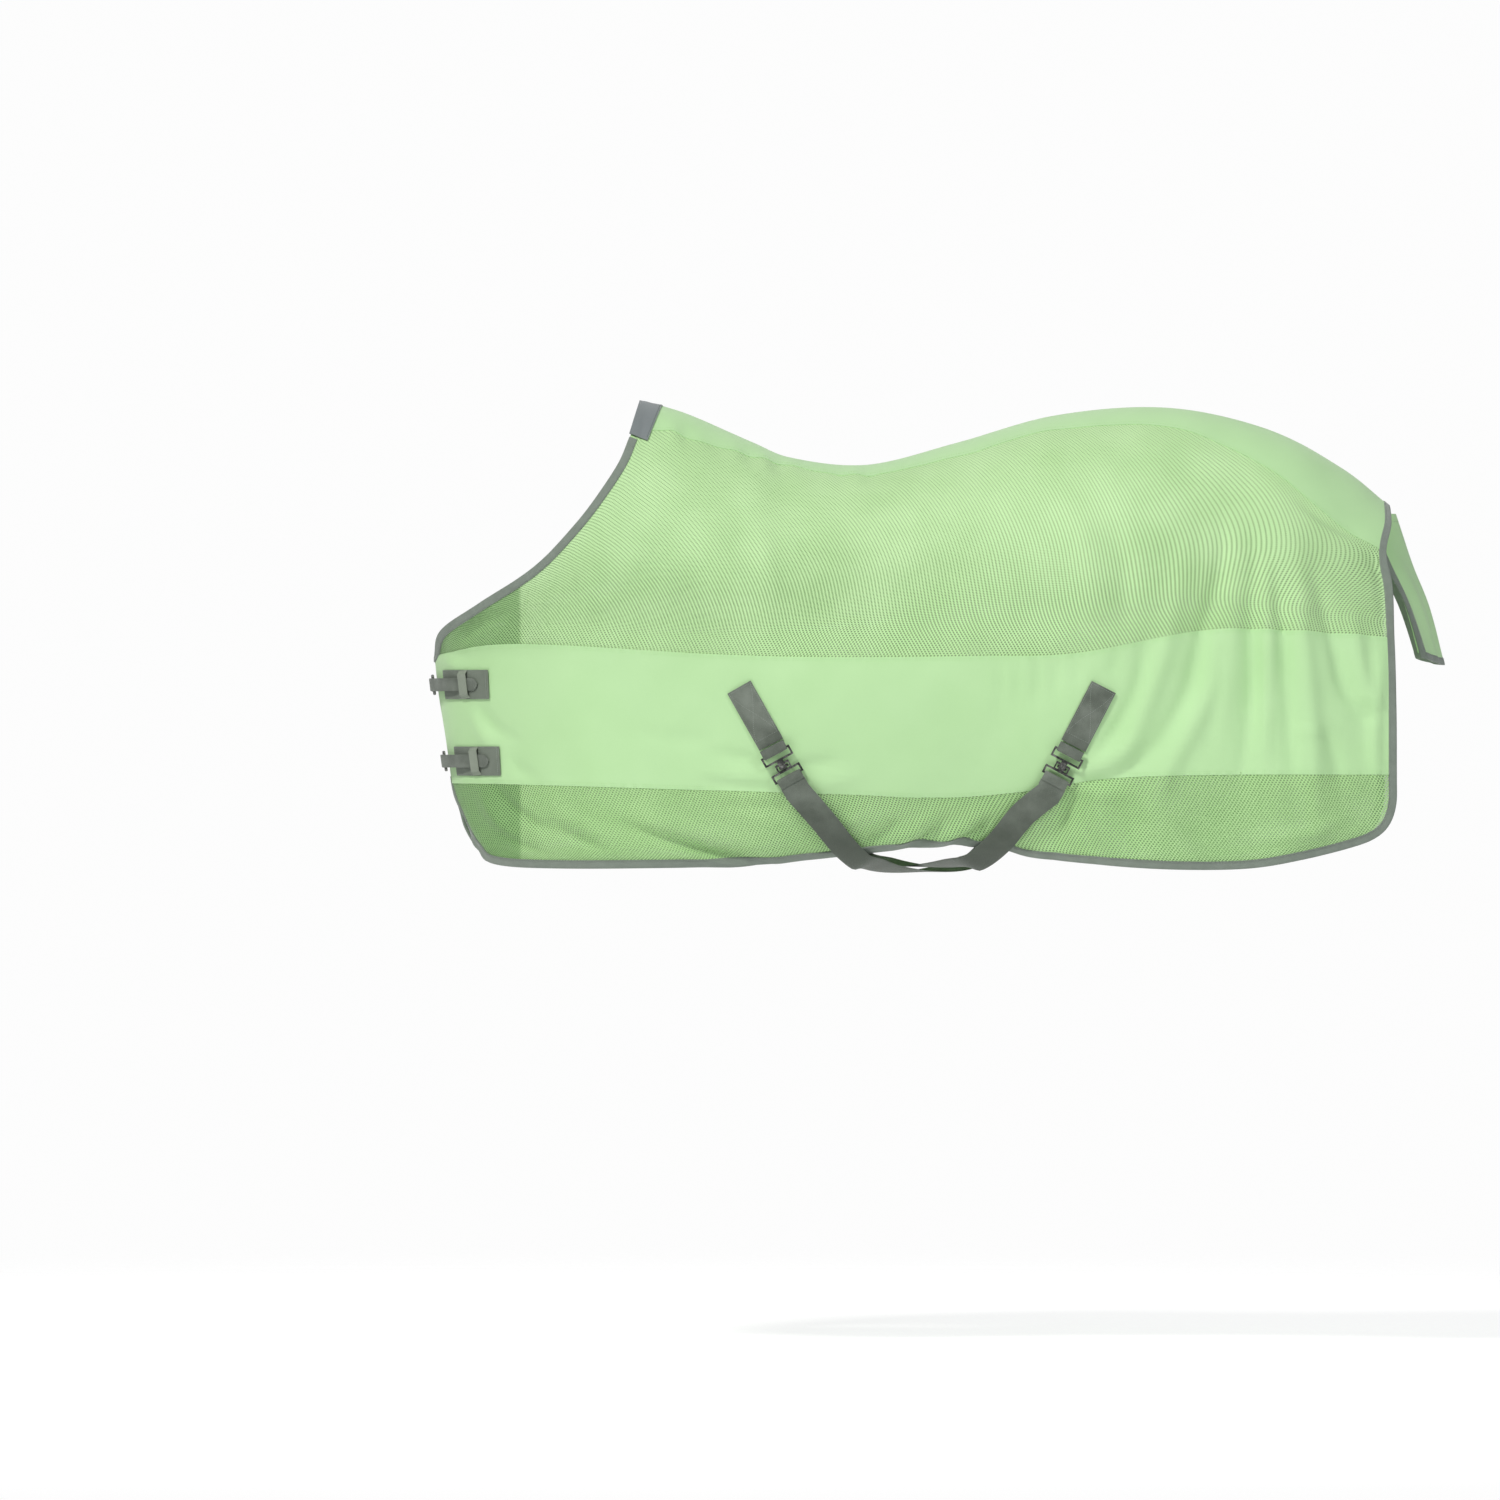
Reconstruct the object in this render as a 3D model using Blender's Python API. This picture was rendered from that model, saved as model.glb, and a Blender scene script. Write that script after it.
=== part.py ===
"""A mesh fly sheet as it hangs on a standing horse. +X runs to the tail, the near side is at -Y, +Z is up.

The origin is on the spine line under the front of the topline, at the withers. Metres throughout.
"""
import math

import bmesh
import bpy
from mathutils import Matrix, Vector

# cloth and tape
CLOTH = 0.0020            # thickness of every panel
SEAM = 0.0003             # clearance between pieces that are sewn or laid together
BINDING_WIDTH = 0.013
BINDING_THICK = 0.0030
PATCH_THICK = 0.0016
WEBBING = 0.0015          # thickness of one layer of webbing
LAID = 0.0018             # room under a piece that lies across the curve of a panel
EDGE_ROOM = 0.0022        # from a panel's edge to the binding round it
LINING_DROP = 0.0070      # how far the chest lining hangs inside the outer layer

# the shape that the sheet takes from the back it lies on
BACK_LENGTH = 1.285       # withers to dock
BARREL_HALF_WIDTH = 0.325
SHOULDER_HALF_WIDTH = 0.270
RUMP_HALF_WIDTH = 0.290
REAR_HALF_WIDTH = 0.235
BACK_ROUNDING = 0.40      # height over which the back rounds off into the side
CHEST_ROUNDING = 0.27     # depth over which the chest rounds off into the shoulder
BELLY_LEVEL = -0.845
WIDEST_LEVEL = -0.40

# straps and hardware
SURCINGLE_WIDTH = 0.046
SURCINGLE_TAB = 0.118     # sewn length of the near-side webbing tab
BILLET_WIDTH = 0.022
CLASP_THICK = 0.0030
CLEAR = 0.0008            # running clearance round metal that moves

# the outlines are drawn for one back length; another length is let out or taken in behind the loin
DRAWN_LENGTH = 1.285
LOIN = 0.80


def let_out(x):
    return LOIN + (x - LOIN) * (BACK_LENGTH - LOIN) / (DRAWN_LENGTH - LOIN) if x > LOIN else x


def cut_to_length(points):
    return [(let_out(x), z) for x, z in points]


# outlines in the side view, front to back or top to bottom: (x, z)
TOPLINE = cut_to_length([(-0.004, -0.001), (0.032, -0.007), (0.090, -0.026), (0.190, -0.070),
    (0.262, -0.098), (0.391, -0.109), (0.544, -0.071), (0.714, -0.024), (0.901, -0.011),
    (1.071, -0.046), (1.200, -0.112), (DRAWN_LENGTH, -0.179)])
STRIP_EDGE = cut_to_length([(-0.017, -0.060), (0.032, -0.050), (0.090, -0.066), (0.190, -0.094),
    (0.262, -0.112), (0.391, -0.128), (0.544, -0.094), (0.714, -0.050), (0.901, -0.045),
    (1.060, -0.110), (1.180, -0.203), (1.272, -0.262)])
FLANK_TOP = cut_to_length([(-0.354, -0.434), (-0.212, -0.417), (0.136, -0.436), (0.340, -0.441),
    (0.578, -0.439), (0.741, -0.434), (0.957, -0.395), (1.120, -0.396), (1.285, -0.407)])
FLANK_BOTTOM = cut_to_length([(-0.324, -0.655), (-0.200, -0.657), (0.136, -0.667), (0.343, -0.673),
    (0.522, -0.678), (0.638, -0.670), (0.806, -0.646), (1.012, -0.640), (1.288, -0.640)])
HEM = cut_to_length([(-0.226, -0.796), (0.031, -0.798), (0.204, -0.792), (0.360, -0.776),
    (0.500, -0.761), (0.605, -0.764), (0.668, -0.779), (0.768, -0.791), (0.900, -0.800),
    (1.029, -0.799), (1.120, -0.785), (1.207, -0.764)])
NECK = [(-0.017, -0.060), (-0.042, -0.118), (-0.105, -0.208), (-0.180, -0.286), (-0.275, -0.348),
        (-0.340, -0.392), (-0.354, -0.434)]
CHEST = [(-0.354, -0.434), (-0.347, -0.500), (-0.335, -0.575), (-0.324, -0.655)]
FRONT_CORNER = [(-0.324, -0.655), (-0.313, -0.700), (-0.303, -0.735), (-0.283, -0.768), (-0.226, -0.796)]
STRIP_REAR = cut_to_length([(DRAWN_LENGTH, -0.179), (1.283, -0.215), (1.272, -0.262)])
MESH_REAR = cut_to_length([(1.272, -0.262), (1.282, -0.320), (1.285, -0.407)])
FLANK_REAR = cut_to_length([(1.285, -0.407), (1.287, -0.520), (1.288, -0.640)])
REAR_CORNER = cut_to_length([(1.288, -0.640), (1.287, -0.690), (1.275, -0.725), (1.250, -0.748),
    (1.207, -0.764)])
COLUMNS = 26

# tail flap: centre line from the dock down, and its reach to each side
FLAP_SPINE = [(BACK_LENGTH + 0.012, -0.192), (BACK_LENGTH + 0.041, -0.280),
              (BACK_LENGTH + 0.067, -0.352), (BACK_LENGTH + 0.091, -0.452)]
FLAP_HALF_WIDTH = 0.105
FLAP_WRAP = 0.062         # how far the flap's side edges lie forward of its centre

# levels of the two chest fastenings
CLOSURES = {"upper": -0.486, "lower": -0.617}

# near-side surcingle clips: top of the tab and direction down the webbing, in the side view
CLIPS = {"front": ((0.169, -0.491), (0.492, -0.870)), "rear": ((0.787, -0.491), (-0.454, -0.891))}
STRAP_PATHS = {
    "front": [(0.262, -0.655), (0.314, -0.716), (0.357, -0.765), (0.408, -0.797), (0.480, -0.806),
              (0.552, -0.797), (0.603, -0.765), (0.646, -0.716), (0.698, -0.655), (0.760, -0.535)],
    "rear": [(0.698, -0.655), (0.650, -0.706), (0.610, -0.752), (0.560, -0.785), (0.480, -0.797),
             (0.400, -0.787), (0.350, -0.752), (0.310, -0.706), (0.262, -0.655), (0.200, -0.535)],
}


def clean_scene():
    for thing in list(bpy.data.objects):
        bpy.data.objects.remove(thing, do_unlink=True)


def make_material(name, colour, roughness, metallic=0.0):
    material = bpy.data.materials.new(name)
    material.use_nodes = True
    shader = material.node_tree.nodes["Principled BSDF"]
    shader.inputs["Base Color"].default_value = (*colour, 1.0)
    shader.inputs["Roughness"].default_value = roughness
    shader.inputs["Metallic"].default_value = metallic
    material.diffuse_color = (*colour, 1.0)
    return material


def curve_point(points, t):
    """The point a share t of the way along a smooth curve through the points."""
    place = min(max(t, 0.0), 1.0) * (len(points) - 1)
    k = min(int(place), len(points) - 2)
    f = place - k
    p1, p2 = Vector(points[k]), Vector(points[k + 1])
    p0 = Vector(points[k - 1]) if k else 2 * p1 - p2
    p3 = Vector(points[k + 2]) if k + 2 < len(points) else 2 * p2 - p1
    return 0.5 * (2 * p1 + (p2 - p0) * f + (2 * p0 - 5 * p1 + 4 * p2 - p3) * f * f
                  + (3 * p1 - p0 - 3 * p2 + p3) * f ** 3)


def height_at(points, x):
    """The level of an outline at a distance x along the horse."""
    if x <= points[0][0]:
        slope = (points[1][1] - points[0][1]) / (points[1][0] - points[0][0])
        return points[0][1] + slope * (x - points[0][0])
    low, high = 0.0, 1.0
    for _ in range(26):
        middle = (low + high) / 2
        if curve_point(points, middle).x < x:
            low = middle
        else:
            high = middle
    return curve_point(points, (low + high) / 2).y


def ease(x, start, end):
    t = min(max((x - start) / (end - start), 0.0), 1.0)
    return t * t * (3 - 2 * t)


def quarter(distance, reach):
    """A quarter ellipse: 0 at the edge, 1 from reach inwards."""
    t = min(max(distance / reach, 0.0), 1.0)
    return math.sqrt(max(1 - (1 - t) ** 2, 0.0))


def crest(x):
    """The spine line, carried forward of the withers along the neck."""
    return height_at(TOPLINE, x) if x > 0 else -0.001 - 0.35 * x


def front_line(z):
    """Where the chest and throat line crosses a level."""
    if z > NECK[-1][1]:
        return NECK[-1][0] - 0.78 * (z - NECK[-1][1])
    line = [(p[1], p[0]) for p in reversed(CHEST)]
    return height_at(line, z)


def half_width(x, z):
    """How far the cloth stands out from the middle plane at a place in the side view."""
    widest = SHOULDER_HALF_WIDTH
    widest -= 0.060 * ease(-x, 0.02, 0.30)
    widest += (BARREL_HALF_WIDTH - SHOULDER_HALF_WIDTH) * ease(x, 0.05, 0.45)
    widest += (RUMP_HALF_WIDTH - BARREL_HALF_WIDTH) * ease(x, 0.75, let_out(1.05))
    widest += (REAR_HALF_WIDTH - RUMP_HALF_WIDTH) * ease(x, let_out(1.08), let_out(1.30))
    width = widest * quarter(crest(x) - z, BACK_ROUNDING) * quarter(x - front_line(z), CHEST_ROUNDING)
    if z < WIDEST_LEVEL:
        drop = min((WIDEST_LEVEL - z) / (WIDEST_LEVEL - BELLY_LEVEL), 0.96)
        hug = 0.85 * ease(x, 0.00, 0.38) * (1 - ease(x, 0.56, let_out(0.90)))
        width *= 1 - hug + hug * math.sqrt(1 - drop * drop)
    return width


def skin_point(x, z, lift=0.0):
    """A point on the near side, lifted off the cloth's inner face by lift."""
    step = 0.004
    middle = Vector((x, -half_width(x, z), z))
    if lift == 0.0:
        return middle
    along = Vector((x + step, -half_width(x + step, z), z)) - Vector((x - step, -half_width(x - step, z), z))
    down = Vector((x, -half_width(x, z - step), z - step)) - Vector((x, -half_width(x, z + step), z + step))
    normal = along.cross(down)
    if middle.y > -1e-4:
        normal.y = 0.0
    if normal.length < 1e-12:
        normal = Vector((0, -1, 0))
    normal.normalize()
    if normal.y > 0:
        normal.negate()
    return middle + lift * normal


def spread(u):
    """Columns close together at the chest, where the cloth turns most."""
    e = 0.2
    return (math.sqrt(u * u + e * e) - e) / (math.sqrt(1 + e * e) - e)


def along(points, shares):
    return [curve_point(points, share) for share in shares]


def inset(run, distance):
    """A run of places drawn into the cloth by a distance, square to the run; the cloth lies on its left."""
    moved = []
    for k, here in enumerate(run):
        course = run[min(k + 1, len(run) - 1)] - run[max(k - 1, 0)]
        moved.append(here + Vector((-course.y, course.x)).normalized() * distance)
    return moved


def fitted(run, first, last):
    """A run of places eased so that its ends meet two others."""
    shares = [k / (len(run) - 1) for k in range(len(run))]
    return [p + (1 - t) * (first - run[0]) + t * (last - run[-1]) for p, t in zip(run, shares)]


def seam_run(line, first, last, shift):
    """Places along a seam line from one side edge to the other, moved off it by half the seam's gap."""
    eased = fitted(along(line, COLUMN_SHARES), first, last)
    return [first] + [on_line(p, line) + shift for p in eased[1:-1]] + [last]


def between(top, bottom, front, rear, shares, steps):
    """Rows of places filling four runs whose ends meet at the corners."""
    rows = []
    for v, left, right in zip(steps, front, rear):
        row = []
        for u, high, low in zip(shares, top, bottom):
            corners = ((1 - u) * ((1 - v) * top[0] + v * bottom[0]) + u * ((1 - v) * top[-1] + v * bottom[-1]))
            row.append((1 - v) * high + v * low + (1 - u) * left + u * right - corners)
        rows.append([tuple(p) for p in row])
    return rows


def make_object(name, mesh, material, smooth=True):
    thing = bpy.data.objects.new(name, mesh)
    bpy.context.collection.objects.link(thing)
    thing.data.materials.append(material)
    if smooth:
        thing.data.shade_smooth()
        thing.data.set_sharp_from_angle(angle=math.radians(40))
    return thing


def finish_mesh(bm, name):
    bmesh.ops.recalc_face_normals(bm, faces=bm.faces)
    mesh = bpy.data.meshes.new(name)
    bm.to_mesh(mesh)
    bm.free()
    return mesh


def shell(name, outer, inner, material):
    """A closed solid between two grids of points, given as lists of rows."""
    bm = bmesh.new()
    rows, columns = len(outer), len(outer[0])
    top = [[bm.verts.new(p) for p in row] for row in outer]
    under = [[bm.verts.new(p) for p in row] for row in inner]
    for r in range(rows - 1):
        for c in range(columns - 1):
            bm.faces.new((top[r][c], top[r][c + 1], top[r + 1][c + 1], top[r + 1][c]))
            bm.faces.new((under[r][c], under[r + 1][c], under[r + 1][c + 1], under[r][c + 1]))
    rim = [(0, c) for c in range(columns)] + [(r, columns - 1) for r in range(1, rows)]
    rim += [(rows - 1, c) for c in range(columns - 2, -1, -1)] + [(r, 0) for r in range(rows - 2, 0, -1)]
    for k, (r, c) in enumerate(rim):
        r2, c2 = rim[(k + 1) % len(rim)]
        bm.faces.new((top[r][c], under[r][c], under[r2][c2], top[r2][c2]))
    return make_object(name, finish_mesh(bm, name), material)


def side_points(grid, side, lift):
    """Lift a grid of side-view places off the cloth, on the near (-1) or far (+1) side."""
    rows = []
    for row in grid:
        points = [skin_point(x, z, lift) for x, z in row]
        rows.append([Vector((p.x, -side * p.y if side > 0 else p.y, p.z)) for p in points])
    return rows


def skin_shell(name, grid, side, material, low=0.0, thick=CLOTH):
    inner = side_points(grid, side, low)
    outer = side_points(grid, side, low + thick)
    return shell(name, outer, inner, material)


def even(count, power=1.0):
    return [(k / count) ** power for k in range(count + 1)]


COLUMN_SHARES = [spread(k / COLUMNS) for k in range(COLUMNS + 1)]
MESH_STEPS, FLANK_STEPS, CORNER_STEPS = even(8, 1.3), even(4), even(4)


def on_line(place, points):
    return Vector((place.x, height_at(points, place.x)))


def side_edges(front, rear, high, low, gap):
    """Front and rear edges of a panel with their ends set on its seam lines."""
    for run in (front, rear):
        run[0], run[-1] = on_line(run[0], high) - gap, on_line(run[-1], low) + gap
    return front, rear


def panel_grids():
    """Side-view places of the three side panels, and the runs that their bindings follow."""
    tape, gap = BINDING_WIDTH + EDGE_ROOM, Vector((0, SEAM))
    neck, mesh_rear = along(NECK, MESH_STEPS), along(MESH_REAR, MESH_STEPS)
    flank_rear = along(FLANK_REAR, FLANK_STEPS)
    front, rear = side_edges(inset(neck, tape), inset(mesh_rear, -tape), STRIP_EDGE, FLANK_TOP, gap)
    grids = {"upper_mesh": between(seam_run(STRIP_EDGE, front[0], rear[0], -gap),
                                   seam_run(FLANK_TOP, front[-1], rear[-1], gap),
                                   front, rear, COLUMN_SHARES, MESH_STEPS)}
    chest = [p + Vector((EDGE_ROOM, 0)) for p in along(CHEST, FLANK_STEPS)]
    front, rear = side_edges(chest, inset(flank_rear, -tape), FLANK_TOP, FLANK_BOTTOM, gap)
    grids["solid_band"] = between(seam_run(FLANK_TOP, front[0], rear[0], -gap),
                                  seam_run(FLANK_BOTTOM, front[-1], rear[-1], gap),
                                  front, rear, COLUMN_SHARES, FLANK_STEPS)
    corner, heel = along(FRONT_CORNER, CORNER_STEPS), along(REAR_CORNER, CORNER_STEPS)
    hem_run = corner + along(HEM, COLUMN_SHARES)[1:-1] + list(reversed(heel))
    drawn = inset(hem_run, tape)
    count = len(CORNER_STEPS)
    front, rear = drawn[:count], list(reversed(drawn[-count:]))
    for run in (front, rear):
        run[0] = on_line(run[0], FLANK_BOTTOM) - gap
    grids["lower_mesh"] = between(seam_run(FLANK_BOTTOM, front[0], rear[0], -gap),
                                  drawn[count - 1:len(drawn) - count + 1],
                                  front, rear, COLUMN_SHARES, CORNER_STEPS)
    rear_run = along(STRIP_REAR, even(3))[1:] + mesh_rear[1:] + flank_rear[1:-1]
    runs = {"neck_binding": (neck, 1), "hem_binding": (hem_run, 1), "rear_binding": (rear_run, -1)}
    return grids, runs


def trimmed(run, share):
    """A run with its end places drawn back a share of their first and last steps."""
    return [run[0].lerp(run[1], share)] + run[1:-1] + [run[-1].lerp(run[-2], share)]


def make_panels(materials):
    grids, runs = panel_grids()
    for side, word in ((-1, "near"), (1, "far")):
        for name, grid in grids.items():
            skin_shell(f"{name}_{word}", grid, side, materials[name])
        for name, (run, turn) in runs.items():
            share = 0.45 if name == "neck_binding" else 0.12
            rows = [trimmed(run, share), trimmed(inset(run, turn * BINDING_WIDTH), share)]
            skin_shell(f"{name}_{word}", [[tuple(p) for p in row] for row in rows], side,
                       materials["binding"], low=-(BINDING_THICK - CLOTH) / 2, thick=BINDING_THICK)


def make_topline(materials):
    """One strip over the spine, from the withers to the dock."""
    edge = BINDING_WIDTH + 3 * SEAM
    rows = []
    for side in (-1, 1):
        shares = even(3, 1.9) if side < 0 else even(3, 1.9)[1:]
        for v in shares:
            row = []
            for k in range(COLUMNS + 1):
                u = spread(k / COLUMNS)
                high, low = curve_point(TOPLINE, u), curve_point(STRIP_EDGE, u)
                place = high.lerp(low, v)
                place.x -= edge * u ** 6
                seam = place.y if v < 1 else height_at(STRIP_EDGE, place.x) + SEAM
                row.append((place.x, seam, side))
            rows.append((v * side, row))
    rows.sort(key=lambda pair: pair[0])
    inner, outer = [], []
    for v, row in rows:
        low_row, high_row = [], []
        for x, z, side in row:
            if v == 0:
                low_row.append(Vector((x, 0, z)))
                high_row.append(Vector((x, 0, z + CLOTH)))
                continue
            low, high = skin_point(x, z), skin_point(x, z, CLOTH)
            low_row.append(Vector((low.x, low.y if side < 0 else -low.y, low.z)))
            high_row.append(Vector((high.x, high.y if side < 0 else -high.y, high.z)))
        inner.append(low_row)
        outer.append(high_row)
    shell("topline_panel", outer, inner, materials["topline_panel"])


def make_chest_linings(materials):
    """The second layer of mesh behind each side of the chest."""
    front = [(-0.290, -0.460), (-0.292, -0.560), (-0.278, -0.660), (-0.262, -0.740)]
    seam = [(-0.190, -0.330), (-0.208, -0.420), (-0.216, -0.560), (-0.206, -0.650), (-0.180, -0.775)]
    for side, word in ((-1, "near"), (1, "far")):
        grid = []
        for k in range(7):
            a, b = curve_point(front, k / 6), curve_point(seam, k / 6)
            grid.append([tuple(a.lerp(b, c / 4)) for c in range(5)])
        skin_shell(f"chest_lining_{word}", grid, side, materials["chest_lining"],
                   low=-LINING_DROP, thick=0.0016)


def make_withers_patch(materials):
    """Smooth patch saddled over the front of the topline."""
    top_front, top_rear = (-0.002, -0.002), (0.032, -0.007)
    foot_front, foot_rear = (-0.0165, -0.052), (0.012, -0.064)
    inner, outer = [], []
    low = CLOTH + SEAM
    for k in range(-4, 5):
        share = (abs(k) / 4) ** 1.7
        side = 1 if k > 0 else -1
        low_row, high_row = [], []
        for c in range(4):
            front = Vector(top_front).lerp(Vector(foot_front), share)
            rear = Vector(top_rear).lerp(Vector(foot_rear), share)
            x, z = front.lerp(rear, c / 3)
            if k == 0:
                z = crest(max(x, 0.001))
                low_row.append(Vector((x, 0, z + low + 0.0012)))
                high_row.append(Vector((x, 0, z + low + 0.0012 + PATCH_THICK)))
                continue
            z = min(z, crest(max(x, 0.001)) - 0.001)
            a, b = skin_point(x, z, low + 0.0006), skin_point(x, z, low + 0.0006 + PATCH_THICK)
            low_row.append(Vector((a.x, a.y * -side, a.z)))
            high_row.append(Vector((b.x, b.y * -side, b.z)))
        inner.append(low_row)
        outer.append(high_row)
    shell("withers_patch", outer, inner, materials["withers_patch"])


def flap_point(u, v, lift=0.0):
    """A place on the tail flap: u from -1 (near edge) to 1 (far edge), v from the dock down."""
    spine = curve_point(FLAP_SPINE, v)
    spread_out = FLAP_HALF_WIDTH * (0.45 + 0.55 * ease(v, 0.0, 0.45))
    turn = 1.05 * u
    x = spine.x + lift - (FLAP_WRAP * (1 - 0.35 * v)) * (1 - math.cos(turn)) / (1 - math.cos(1.05))
    y = (spread_out + lift) * math.sin(turn) / math.sin(1.05)
    return Vector((x, y, spine.y + 0.012 * u * u * v))


def flap_shell(name, u_values, v_values, low, thick, material):
    inner = [[flap_point(u, v, low) for u in u_values] for v in v_values]
    outer = [[flap_point(u, v, low + thick) for u in u_values] for v in v_values]
    return shell(name, outer, inner, material)


def make_tail_flap(materials):
    trim = 0.045
    u_values = [-0.87 + 1.74 * k / 10 for k in range(11)]
    v_values = [0.03 + (1 - trim - 0.03) * k / 6 for k in range(7)]
    flap_shell("tail_flap", u_values, v_values, 0.0, CLOTH, materials["tail_flap"])
    start = 1 - trim + 0.004
    wide = [-1 + 2 * k / 10 for k in range(11)]
    flap_shell("tail_flap_hem_binding", wide, [start, 1.0], -0.0005, BINDING_THICK, materials["binding"])
    for side, word in ((-1, "near"), (1, "far")):
        edges = sorted((side * 0.880, side * 1.0))
        flap_shell(f"tail_flap_side_binding_{word}", edges, v_values, -0.0005, BINDING_THICK,
                   materials["binding"])


def chest_place(angle, z, lift):
    """A place across the chest: angle 0 at the middle, positive on the near side."""
    x = front_line(z) + CHEST_ROUNDING * (1 - math.cos(angle))
    near = skin_point(x, z, 0.0)
    step = 0.02
    ahead = skin_point(front_line(z) + CHEST_ROUNDING * (1 - math.cos(abs(angle) + step)), z)
    back = skin_point(front_line(z) + CHEST_ROUNDING * (1 - math.cos(max(abs(angle) - step, 0))), z)
    along = ahead - back
    normal = Vector((along.y, -along.x, 0))
    if normal.length < 1e-9 or abs(angle) < 1e-6:
        normal = Vector((-1, 0, 0))
    normal.normalize()
    if normal.x > 0:
        normal.negate()
    place = near + normal * lift
    return Vector((place.x, place.y if angle >= 0 else -place.y, place.z))


def chest_rise(middle):
    """Direction up the chest at a level."""
    step = 0.02
    return Vector((front_line(middle + step) - front_line(middle - step), 0, 2 * step)).normalized()


def chest_strap(name, stations, middle, height, material, thick=WEBBING, arch=None):
    """Webbing across the chest; stations are (angle, lift) pairs, arch lifts the middle rows."""
    rows_in, rows_out = [], []
    levels = [-0.5, 0.5] if arch is None else [-0.5, -0.36, -0.33, 0.33, 0.36, 0.5]
    for share in levels:
        rise = chest_rise(middle) * share * height
        raised = arch if arch is not None and abs(share) < 0.34 else 0.0
        rows_in.append([chest_place(a, middle, lift + raised) + rise for a, lift in stations])
        rows_out.append([chest_place(a, middle, lift + raised + thick) + rise for a, lift in stations])
    return shell(name, rows_out, rows_in, material)


def wire_loop(name, corners, wire, material, per_corner=3):
    """A closed ring of round wire through rounded corners given in order."""
    bm = bmesh.new()
    path = []
    count = len(corners)
    radius = wire * 1.1
    for k in range(count):
        here, before, after = corners[k], corners[k - 1], corners[(k + 1) % count]
        a = here + (before - here).normalized() * radius
        b = here + (after - here).normalized() * radius
        for s in range(per_corner):
            t = s / (per_corner - 1)
            path.append((1 - t) ** 2 * a + 2 * t * (1 - t) * here + t * t * b)
    normal = (corners[1] - corners[0]).cross(corners[2] - corners[1]).normalized()
    rings = []
    for k, p in enumerate(path):
        tangent = (path[(k + 1) % len(path)] - path[k - 1]).normalized()
        side = tangent.cross(normal).normalized()
        ring = []
        for s in range(8):
            turn = 2 * math.pi * s / 8
            ring.append(bm.verts.new(p + (math.cos(turn) * side + math.sin(turn) * normal) * wire / 2))
        rings.append(ring)
    for k, ring in enumerate(rings):
        other = rings[(k + 1) % len(rings)]
        for s in range(8):
            bm.faces.new((ring[s], ring[(s + 1) % 8], other[(s + 1) % 8], other[s]))
    return make_object(name, finish_mesh(bm, name), material)


def tube(name, centre, axis, bore, outside, length, material, segments=16):
    """A straight tube, open at both ends."""
    bm = bmesh.new()
    across = axis.cross(Vector((0.31, 0.72, 0.53))).normalized()
    other = axis.cross(across)
    loops = []
    for radius, shift in ((bore, -0.5), (outside, -0.5), (outside, 0.5), (bore, 0.5)):
        loop = []
        for s in range(segments):
            turn = 2 * math.pi * s / segments
            ring_place = centre + axis * shift * length
            loop.append(bm.verts.new(ring_place + radius * (math.cos(turn) * across + math.sin(turn) * other)))
        loops.append(loop)
    for k in range(4):
        a, b = loops[k], loops[(k + 1) % 4]
        for s in range(segments):
            bm.faces.new((a[s], a[(s + 1) % segments], b[(s + 1) % segments], b[s]))
    return make_object(name, finish_mesh(bm, name), material)


FRAME_GAP = 0.028         # bar to bar across the buckle frame
FRAME_WIRE = 0.0032
EYE_WALL = 0.0010         # prong's eye round the bar
RUNNING = 0.0004          # clearance round the bar
BUCKLE_ANGLE = 0.125      # where the chape's bar sits on the near side of the chest
FRAME_ROOM = 0.004        # between the billet's two edges and the frame
FRAME_HEIGHT = BILLET_WIDTH + 2 * FRAME_WIRE + FRAME_ROOM
EYE_START, EYE_STEPS = 372, 12   # where the prong's eye begins round the bar, in degrees
PRONG_HALF = 0.0014       # half width of the prong
PRONG_PAST = 0.0025       # its tip passes the roller's middle
EYE_INNER = FRAME_WIRE / 2 + RUNNING
EYE_OUTER = EYE_INNER + EYE_WALL
FOLD_INNER = EYE_OUTER + RUNNING
CHEST_BASE = CLOTH + LAID
BAR_LIFT = CHEST_BASE + WEBBING + FOLD_INNER + RUNNING
ROLLER_RADIUS = 0.0034
PATCH_HEIGHT = 0.050
BILLET_THICK = 0.0015
BILLET_CLOSE = 0.0014     # room under the billet where it lies on the cloth at the middle of the chest
PATCH_NEAR, PATCH_FAR, PATCH_STEPS = (0.34, 0.85), (-0.86, -0.30), 7   # turns round the chest, in radians
KEEPER_TURNS, KEEPER_ROOM, KEEPER_THICK = (0.585, 0.635, 0.685), 0.0004, 0.0012
KEEPER_PAST = 0.020       # the keeper's ends reach past the billet's two edges
SLOT_SIZE = (0.016, 0.026, 0.0056)     # slot that the billet rides over the prong with
CHAPE_SLOT = (0.018, 0.026, 0.0044)
CHAPE_TURNS = (0.50, 0.44, 0.38, 0.32)


def buckle_axes(middle):
    """Centre of the chape bar, direction to the roller, and the outward direction."""
    bar = chest_place(BUCKLE_ANGLE, middle, BAR_LIFT)
    ahead = chest_place(BUCKLE_ANGLE - FRAME_GAP / CHEST_ROUNDING, middle, BAR_LIFT)
    forward = (ahead - bar).normalized()
    outward = Vector((forward.y, -forward.x, 0)).normalized()
    if outward.x > 0:
        outward.negate()
    return bar, forward, outward


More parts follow.
